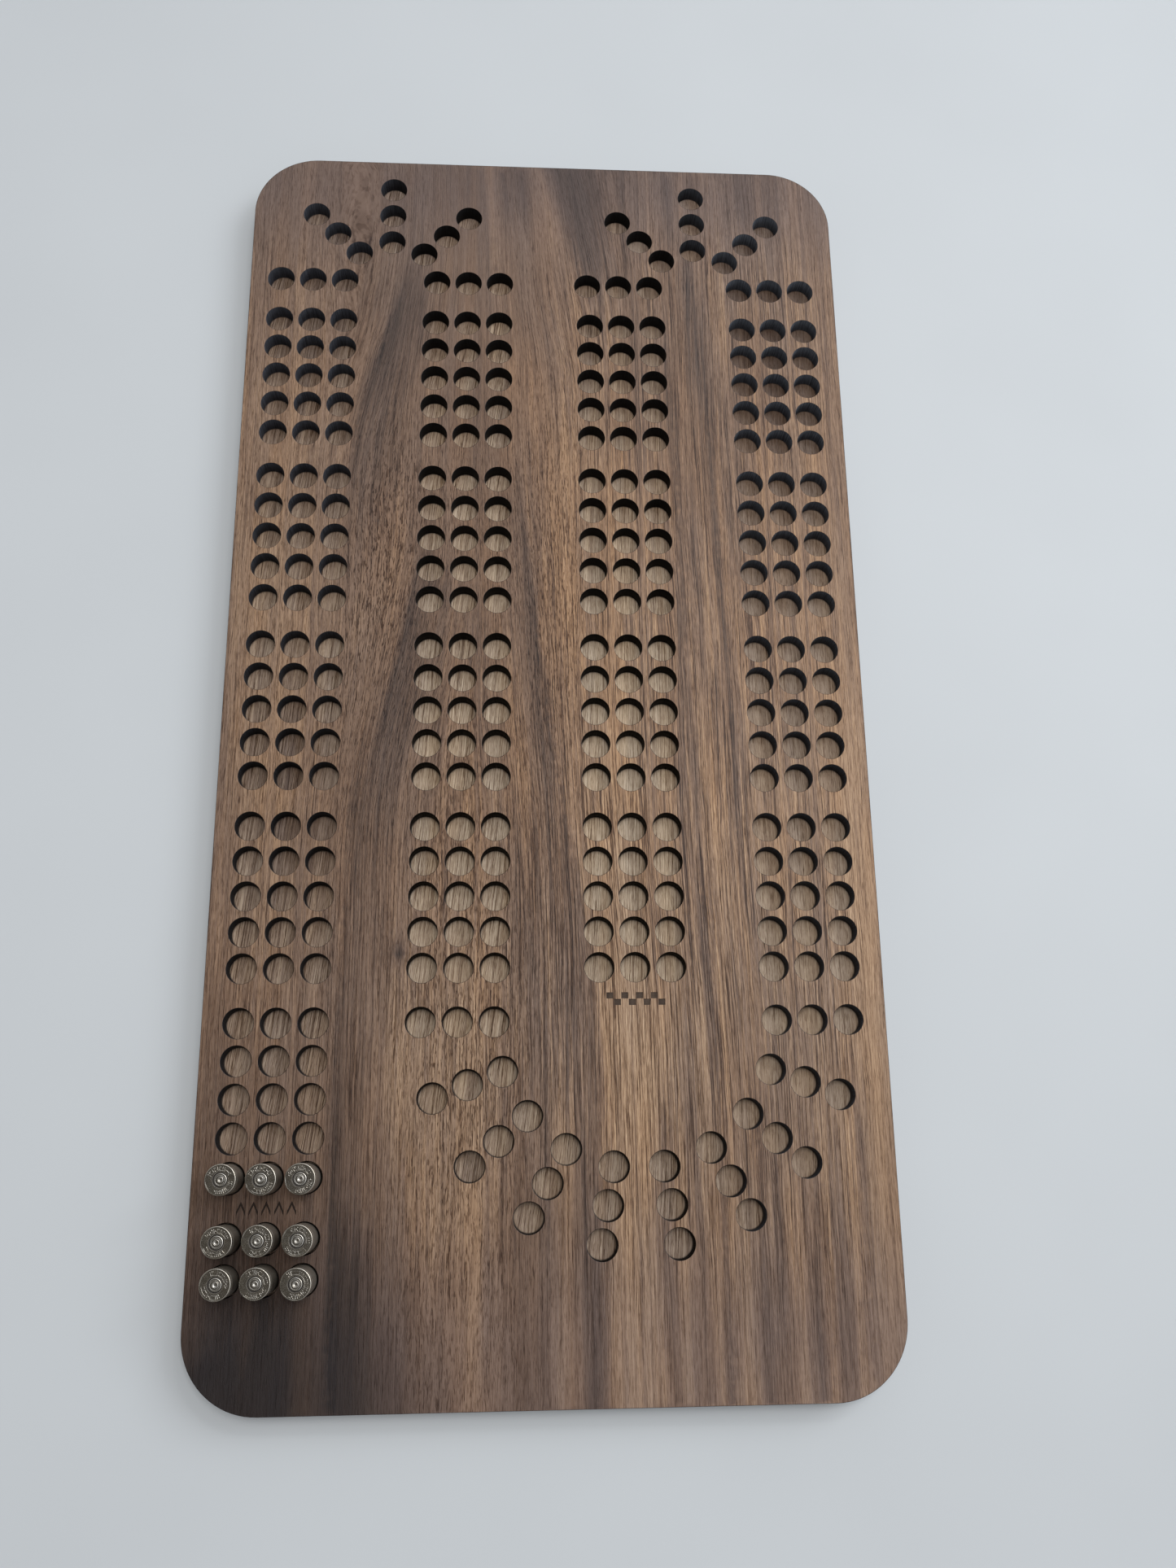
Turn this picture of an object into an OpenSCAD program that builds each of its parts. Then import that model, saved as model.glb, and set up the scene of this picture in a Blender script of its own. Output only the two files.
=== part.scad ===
// Three-player cribbage board.
// Two walnut panels are glued face to face: the upper one is cut right
// through with the scoring track, the plain lower one closes the holes from
// below. Nine spent pistol cases, each with its fired primer still in it,
// stand mouth down in the holes and are the pegs.
//
// Units are millimetres. The origin is the centre of the underside, +Z up,
// +Y runs from the start end of the board to the far end, +X to the right.

/* [Board] */
// Width of the board, across the lanes
board_w = 237.2; // [234:0.2:250]
// Length of the board, along the lanes
board_l = 477.6; // [474:0.2:500]
// Radius of the four corners
corner_r = 25.4; // [10:0.1:32]
// Thickness of the drilled upper panel
top_t = 6.4; // [5:0.1:8]
// Thickness of the plain lower panel
backer_t = 6.4; // [4:0.1:10]

/* [Track] */
// Distance between neighbouring holes, along and across a lane
pitch = 12.7; // [12.4:0.05:12.8]
// Diameter of a peg hole
hole_d = 10.5; // [10.45:0.05:11.1]
// Distance from the last row of one group of five to the first of the next
group_gap = 18.7; // [18:0.1:19]
// Distance between the middle columns of neighbouring lanes
lane_pitch = 62; // [61.6:0.1:62.4]
// Sideways shift of the whole track from the centre line of the board
track_shift = -0.55; // [-2:0.05:1]
// Position along the board (y) of the first row that all four lanes share
first_row_y = -96.5; // [-98:0.1:-95]
// Distance from the last row of a lane to the single row that ends it
loop_gap = 18.6; // [18:0.1:19]
// Radius of the two far half circles, to the middle hole of a spoke
far_loop_r = 31.2; // [30.9:0.1:31.5]
// Sideways shift of the right-hand half circle from the middle of its lanes
far_loop_shift = -0.7; // [-1.2:0.1:0.5]
// Radius of the half circle at the start end, to the middle hole of a spoke
near_loop_r = 62.1; // [61.6:0.1:62.4]
// Angle between neighbouring spokes of a far half circle
far_loop_step = 45; // [45]
// Angle between neighbouring spokes of the near half circle
near_loop_step = 20; // [20]

/* [Start rows] */
// Distance from the first scoring row back to the first of the start rows
start_gap = 19.2; // [18.8:0.1:19.6]
// Distance between the two start rows
start_pitch = 12.9; // [12.4:0.1:13]

/* [Engraved marks] */
// Depth of the engraved start and finish marks
mark_depth = 0.25; // [0.1:0.05:0.5]
// Size of each mark across the lane
mark_w = 20.8; // [16:0.2:24]
// Size of each mark along the lane
mark_h = 4.6; // [3:0.1:5]
// Number of chevrons in the start mark
start_chevrons = 5; // [3:1:6]
// Number of squares along the finish mark
finish_squares = 8; // [6:2:10]

/* [Pegs] */
// Overall length of a spent case
case_l = 19.15; // [18.5:0.05:21]
// Diameter of the rim of the case
rim_d = 9.96; // [9.9:0.01:10]
// Diameter of the case at its mouth
mouth_d = 9.66; // [9.5:0.01:9.8]
// Thickness of the case wall at the mouth
mouth_wall = 0.3; // [0.25:0.01:0.4]
// Diameter at the bottom of the extractor groove
groove_d = 8.8; // [8.5:0.05:9]
// Diameter of the primer and of the pocket it is pressed into
primer_d = 4.45; // [4.4:0.01:4.5]
// Gap left under each case mouth
seat_gap = 0.05; // [0.02:0.01:0.1]

/* [Hidden] */

board_t = top_t + backer_t;
head_z = backer_t + seat_gap + case_l; // level of the case heads

lane_count = 4;
group_count = 4;                       // groups in every lane
group_rows = 5;
group_pitch = (group_rows - 1) * pitch + group_gap;

// x of the middle column of a lane, lanes counted from 0 at the left
function lane_x(lane) = (lane - (lane_count - 1) / 2) * lane_pitch + track_shift;
// y of a row; group -1 is the extra group at the start end
function row_y(group, row) = first_row_y + group * group_pitch + row * pitch;
// y of start row 0 or 1, counted back from the first scoring row
function start_row_y(i) = row_y(-1, 0) - start_gap - i * start_pitch;

// Centres of the half circles, level with the single rows that end the lanes
far_loop_y = row_y(group_count - 1, group_rows - 1) + loop_gap;
near_loop_y = first_row_y - group_gap;

pocket_l = 2.95;                       // depth of the primer pocket
cup_sink = 0.1;                        // primer sits this far below the head
cup_wall = 0.32;

walnut = [0.42, 0.32, 0.26];
walnut_back = [0.47, 0.38, 0.31];
nickel = [0.78, 0.76, 0.72];
primer_metal = [0.70, 0.66, 0.58];
anvil_brass = [0.72, 0.58, 0.32];

// --- hole pattern, flat ------------------------------------------------------

// Three holes side by side, one for each player
module row_of_three(x, y)
    for (k = [-1:1])
        translate([x + k * pitch, y]) circle(d = hole_d, $fn = 64);

// Three holes along a spoke of a half circle
module spoke_of_three(x, y, r, angle)
    for (k = [-1:1])
        translate([x + (r + k * pitch) * cos(angle), y + (r + k * pitch) * sin(angle)])
            circle(d = hole_d, $fn = 64);

module straight_lanes()
    for (lane = [0:lane_count - 1], group = [0:group_count - 1], row = [0:group_rows - 1])
        row_of_three(lane_x(lane), row_y(group, row));

// Fifth group of the outer left lane, where play begins
module opening_group()
    for (row = [0:group_rows - 1]) row_of_three(lane_x(0), row_y(-1, row));

// Half circle of spokes, its ends being single rows of the two lanes it joins
module half_loop(x, y, r, first_angle, step)
    for (i = [0:180 / step]) spoke_of_three(x, y, r, first_angle + i * step);

module far_loops() {
    half_loop((lane_x(0) + lane_x(1)) / 2, far_loop_y, far_loop_r, 0, far_loop_step);
    half_loop((lane_x(2) + lane_x(3)) / 2 + far_loop_shift, far_loop_y, far_loop_r,
              0, far_loop_step);
}

// Joins lanes 1 and 3 around the near end of lane 2
module near_loop()
    half_loop(lane_x(2), near_loop_y, near_loop_r, 180, near_loop_step);

// Two rows where the pegs wait before the first scoring hole
module start_rows()
    for (i = [0:1]) row_of_three(lane_x(0), start_row_y(i));

module peg_holes() {
    straight_lanes();
    opening_group();
    far_loops();
    near_loop();
    start_rows();
}

// --- panels ------------------------------------------------------------------

finish_mark_gap = 11;                  // from the finish mark to lane 2's first row

// Rectangle with four round corners
module board_outline() {
    square([board_w - 2 * corner_r, board_l], center = true);
    square([board_w, board_l - 2 * corner_r], center = true);
    for (sx = [-1, 1], sy = [-1, 1])
        translate([sx * (board_w / 2 - corner_r), sy * (board_l / 2 - corner_r)])
            circle(r = corner_r, $fn = 96);
}

// Row of chevrons across the lane, each pointing along it
module start_mark() {
    step = mark_w / start_chevrons;
    half_w = step * 0.72 / 2;
    stroke = mark_h * 0.30;            // thickness of a chevron along y
    tip_y = mark_h / 2;
    for (i = [0:start_chevrons - 1])
        translate([(i - (start_chevrons - 1) / 2) * step, 0])
            polygon([
                [-half_w, -tip_y], [0, tip_y - stroke],
                [half_w, -tip_y], [half_w, -tip_y + stroke],
                [0, tip_y], [-half_w, -tip_y + stroke]
            ]);
}

// Two-row chequered strip; even squares are in the upper row
module finish_mark() {
    square_w = mark_w / finish_squares;
    square_h = mark_h / 2;
    margin = 0.08;                     // keeps neighbouring corners apart
    for (i = [0:finish_squares - 1])
        translate([(i - finish_squares / 2) * square_w + margin,
                   (i % 2 == 0 ? 0 : -square_h) + margin])
            square([square_w - 2 * margin, square_h - 2 * margin]);
}

// Cutter that sinks a flat mark into the top face
module engrave(x, y)
    translate([x, y, board_t - mark_depth])
        linear_extrude(mark_depth + 1) children();

module top_panel() color(walnut) difference() {
    translate([0, 0, backer_t]) linear_extrude(top_t) difference() {
        board_outline();
        peg_holes();
    }
    engrave(lane_x(0), row_y(-1, 0) - start_gap / 2) start_mark();
    engrave(lane_x(2), first_row_y - finish_mark_gap) finish_mark();
}

module backer_panel() color(walnut_back)
    linear_extrude(backer_t) board_outline();

// --- pegs --------------------------------------------------------------------

// Columns of the pegs
LEFT = 0;
CENTRE = 1;
RIGHT = 2;
// Rows of the pegs: the first scoring row, then the two start rows
REAR = 0;
MIDDLE = 1;
FRONT = 2;

// How far [x, y] each loose case has settled off the middle of its hole
peg_play = [
    // left           centre          right
    [[-0.26, -0.17], [-0.17, -0.26], [-0.25, -0.19]], // rear
    [[-0.29, -0.1],  [-0.29, 0.11],  [-0.3, 0.07]],   // middle
    [[0.05, 0.1],    [-0.24, 0.2],   [-0.15, -0.1]]   // front
];

// Stands a part head up in its hole. Peg parts are drawn with the case head
// at z = 0 and the mouth at z = case_l, so z is the depth below the head.
module at_peg(col, row) {
    hole = [lane_x(0) + (col - CENTRE) * pitch,
            row == REAR ? row_y(-1, 0) : start_row_y(row - MIDDLE)];
    place = hole + peg_play[row][col];
    translate([place[0], place[1], head_z]) mirror([0, 0, 1]) children();
}

// Spent straight-walled case
module case_body() color(nickel) {
    rim_r = rim_d / 2;
    groove_r = groove_d / 2;
    body_r = rim_r - 0.02;
    mouth_r = mouth_d / 2;
    bore_r = mouth_r - mouth_wall;
    pocket_r = primer_d / 2;
    flash_hole_r = 1;
    web_z = 4.1;                       // inner face of the web
    bevel = 0.12;                      // at the pocket's edge and the mouth
    rotate_extrude($fn = 96)
        polygon([ // [radius, depth below the head]
            // head and rim
            [pocket_r + bevel, 0], [rim_r - 0.25, 0], [rim_r - 0.07, 0.07],
            [rim_r, 0.25], [rim_r, 1.22], [rim_r - 0.08, 1.30],
            // extractor groove and its bevel
            [groove_r, 1.42], [groove_r, 2.10], [body_r, 3.05],
            // tapered body and mouth
            [mouth_r, case_l - bevel], [mouth_r - 0.06, case_l],
            [bore_r + 0.04, case_l], [bore_r, case_l - 0.1],
            // inside wall, thickening towards the web
            [bore_r - 0.05, 12.5], [bore_r - 0.45, 7.2], [bore_r - 0.9, 5.2],
            [bore_r - 1.6, web_z + 0.25], [bore_r - 2.3, web_z],
            // flash hole and primer pocket
            [flash_hole_r, web_z], [flash_hole_r, pocket_l],
            [pocket_r, pocket_l], [pocket_r, bevel]
        ]);
}

// Primer cup, closed end at the case head, with a firing-pin dent
module primer_cup() color(primer_metal) {
    outer_r = primer_d / 2;
    inner_r = outer_r - cup_wall;
    rim_z = cup_sink + 2.7;            // open end of the cup
    floor_z = cup_sink + 0.45;         // inner face of the closed end
    dent_r = 0.95;
    dent_depth = 0.5;
    dent_rise = dent_r - dent_depth;   // centre of the dent above the face
    dent_angle = acos(dent_rise / dent_r); // half angle of the dent
    dent_steps = 8;
    edge_r = 0.42;                     // round of the closed end's edge
    edge_steps = 6;
    dent = [for (i = [0:dent_steps]) let (a = dent_angle * i / dent_steps)
        [dent_r * sin(a), cup_sink - dent_rise + dent_r * cos(a)]];
    edge = [for (i = [0:edge_steps]) let (a = 90 * i / edge_steps)
        [outer_r - edge_r + edge_r * sin(a), cup_sink + edge_r - edge_r * cos(a)]];
    // [radius, depth]: down the inside wall, then over the back of the dent
    inside = [
        [inner_r, rim_z], [inner_r, floor_z + 0.25], [inner_r - 0.25, floor_z],
        [1.25, floor_z], [0.6, cup_sink + 0.85], [0, cup_sink + 0.95]
    ];
    rotate_extrude($fn = 64)
        polygon(concat(dent, edge, [[outer_r, rim_z]], inside));
}

// Three-legged anvil that stands on the floor of the pocket
module anvil() color(anvil_brass) {
    tip_z = cup_sink + 1.1;
    cone_end_z = pocket_l - 0.45;
    leg_r = primer_d / 2 - cup_wall - 0.05; // reach of the legs
    leg_w = 1.2;
    leg_h = 0.95;
    leg_z = pocket_l - leg_h;
    translate([0, 0, tip_z])
        cylinder(h = cone_end_z - tip_z, r1 = 0.35, r2 = 1.15, $fn = 32);
    difference() {
        intersection() {
            translate([0, 0, leg_z]) cylinder(h = leg_h, r = leg_r, $fn = 48);
            for (i = [0:2]) rotate([0, 0, 120 * i])
                translate([0, -leg_w / 2, leg_z]) cube([leg_r, leg_w, leg_h]);
        }
        // hollow between the feet
        translate([0, 0, pocket_l - 0.4]) cylinder(h = 0.6, r = 1.1, $fn = 32);
    }
}

module peg_left_front_case() at_peg(LEFT, FRONT) case_body();
module peg_left_front_primer_cup() at_peg(LEFT, FRONT) primer_cup();
module peg_left_front_anvil() at_peg(LEFT, FRONT) anvil();
module peg_left_middle_case() at_peg(LEFT, MIDDLE) case_body();
module peg_left_middle_primer_cup() at_peg(LEFT, MIDDLE) primer_cup();
module peg_left_middle_anvil() at_peg(LEFT, MIDDLE) anvil();
module peg_left_rear_case() at_peg(LEFT, REAR) case_body();
module peg_left_rear_primer_cup() at_peg(LEFT, REAR) primer_cup();
module peg_left_rear_anvil() at_peg(LEFT, REAR) anvil();
module peg_centre_front_case() at_peg(CENTRE, FRONT) case_body();
module peg_centre_front_primer_cup() at_peg(CENTRE, FRONT) primer_cup();
module peg_centre_front_anvil() at_peg(CENTRE, FRONT) anvil();
module peg_centre_middle_case() at_peg(CENTRE, MIDDLE) case_body();
module peg_centre_middle_primer_cup() at_peg(CENTRE, MIDDLE) primer_cup();
module peg_centre_middle_anvil() at_peg(CENTRE, MIDDLE) anvil();
module peg_centre_rear_case() at_peg(CENTRE, REAR) case_body();
module peg_centre_rear_primer_cup() at_peg(CENTRE, REAR) primer_cup();
module peg_centre_rear_anvil() at_peg(CENTRE, REAR) anvil();
module peg_right_front_case() at_peg(RIGHT, FRONT) case_body();
module peg_right_front_primer_cup() at_peg(RIGHT, FRONT) primer_cup();
module peg_right_front_anvil() at_peg(RIGHT, FRONT) anvil();
module peg_right_middle_case() at_peg(RIGHT, MIDDLE) case_body();
module peg_right_middle_primer_cup() at_peg(RIGHT, MIDDLE) primer_cup();
module peg_right_middle_anvil() at_peg(RIGHT, MIDDLE) anvil();
module peg_right_rear_case() at_peg(RIGHT, REAR) case_body();
module peg_right_rear_primer_cup() at_peg(RIGHT, REAR) primer_cup();
module peg_right_rear_anvil() at_peg(RIGHT, REAR) anvil();

top_panel();
backer_panel();
peg_left_front_case();
peg_left_front_primer_cup();
peg_left_front_anvil();
peg_left_middle_case();
peg_left_middle_primer_cup();
peg_left_middle_anvil();
peg_left_rear_case();
peg_left_rear_primer_cup();
peg_left_rear_anvil();
peg_centre_front_case();
peg_centre_front_primer_cup();
peg_centre_front_anvil();
peg_centre_middle_case();
peg_centre_middle_primer_cup();
peg_centre_middle_anvil();
peg_centre_rear_case();
peg_centre_rear_primer_cup();
peg_centre_rear_anvil();
peg_right_front_case();
peg_right_front_primer_cup();
peg_right_front_anvil();
peg_right_middle_case();
peg_right_middle_primer_cup();
peg_right_middle_anvil();
peg_right_rear_case();
peg_right_rear_primer_cup();
peg_right_rear_anvil();
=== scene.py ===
"""Walnut peg board: two glued laser-cut panels with nine pegs made from spent cases.

The board lies flat, centred on the Z axis: X runs across it, Y along it, Z up.
The start end is at -Y and the far end at +Y. Lengths are millimetres, scaled by MM.
The panels' outline, peg holes and engraved marks are read from the CAD top panel.
"""

import math

import bpy
import numpy as np
from mathutils import Matrix, Vector
from mathutils.geometry import delaunay_2d_cdt


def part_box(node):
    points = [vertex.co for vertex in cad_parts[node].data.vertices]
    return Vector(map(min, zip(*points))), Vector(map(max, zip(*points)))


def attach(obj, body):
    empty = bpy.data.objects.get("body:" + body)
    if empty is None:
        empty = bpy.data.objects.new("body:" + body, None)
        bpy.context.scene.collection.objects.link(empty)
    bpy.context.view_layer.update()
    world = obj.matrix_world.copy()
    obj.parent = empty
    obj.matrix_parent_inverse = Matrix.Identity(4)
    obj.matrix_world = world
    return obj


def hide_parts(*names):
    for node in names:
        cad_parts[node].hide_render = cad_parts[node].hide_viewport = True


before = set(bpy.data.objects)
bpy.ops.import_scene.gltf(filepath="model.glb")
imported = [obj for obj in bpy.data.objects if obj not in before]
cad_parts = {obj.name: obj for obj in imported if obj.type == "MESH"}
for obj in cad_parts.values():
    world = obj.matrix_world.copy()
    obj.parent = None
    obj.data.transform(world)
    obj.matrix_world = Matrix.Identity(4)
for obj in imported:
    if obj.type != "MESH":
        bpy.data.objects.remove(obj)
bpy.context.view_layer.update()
MM = 0.001


def box_mm(node):
    return [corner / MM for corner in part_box(node)]


# =============================================================================
# Outline, holes and marks from the CAD
# =============================================================================
def face_loops(node, height):
    """Closed boundary loops (mm) of a node's flat upward face at a height (mm)."""
    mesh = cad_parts[node].data
    coords = np.array([v.co for v in mesh.vertices]) / MM
    merged, ids = {}, []
    for point in coords:
        key = tuple(round(c, 3) for c in point)
        ids.append(merged.setdefault(key, len(merged)))
    points = np.array(list(merged))
    uses, directed = {}, {}
    mesh.calc_loop_triangles()
    for triangle in mesh.loop_triangles:
        v = [ids[i] for i in triangle.vertices]
        if all(abs(points[i][2] - height) < 2e-3 for i in v) and triangle.normal.z > 0.9:
            for a, b in ((v[0], v[1]), (v[1], v[2]), (v[2], v[0])):
                edge = (min(a, b), max(a, b))
                uses[edge] = uses.get(edge, 0) + 1
                directed[edge] = (a, b)
    following = dict(directed[edge] for edge, count in uses.items() if count == 1)
    loops, seen = [], set()
    for start in sorted(following):
        loop, i = [], start
        while i not in seen and i in following:
            seen.add(i)
            loop.append(points[i][:2])
            i = following[i]
        if len(loop) > 2:
            loops.append(np.array(loop))
    return loops


def circle_fit(points):
    """Least-squares circle: centre x, centre y, radius, largest error."""
    system = np.c_[2 * points, np.ones(len(points))]
    cx, cy, k = np.linalg.lstsq(system, (points ** 2).sum(1), rcond=None)[0]
    radius = math.sqrt(k + cx ** 2 + cy ** 2)
    error = np.abs(np.hypot(points[:, 0] - cx, points[:, 1] - cy) - radius).max()
    return cx, cy, radius, error


top_low, top_high = box_mm("top_panel")
Z_TOP, Z_MID, Z_LOW = top_high.z, top_low.z, box_mm("backer_panel")[0].z
HALF_W, HALF_L = top_high.x, top_high.y

HOLES, MARKS = [], []
for loop in face_loops("top_panel", Z_TOP):
    if np.ptp(loop[:, 0]) > 100:
        outline_loop = loop
        continue
    cx, cy, radius, error = circle_fit(loop)
    if len(loop) >= 10 and error < 0.05 and 3 < radius < 9:
        HOLES.append((cx, cy, radius))
    else:
        MARKS.append([tuple(p) for p in loop])
HOLES = np.array(sorted(HOLES, key=lambda h: (round(h[1], 1), h[0])))
corner = outline_loop[(outline_loop[:, 0] > HALF_W - 24) & (outline_loop[:, 1] > HALF_L - 24)]
# 25.4 stands in when the CAD corner has too few points for a fit
CORNER_R = circle_fit(corner)[2] if len(corner) > 3 else 25.4

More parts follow.
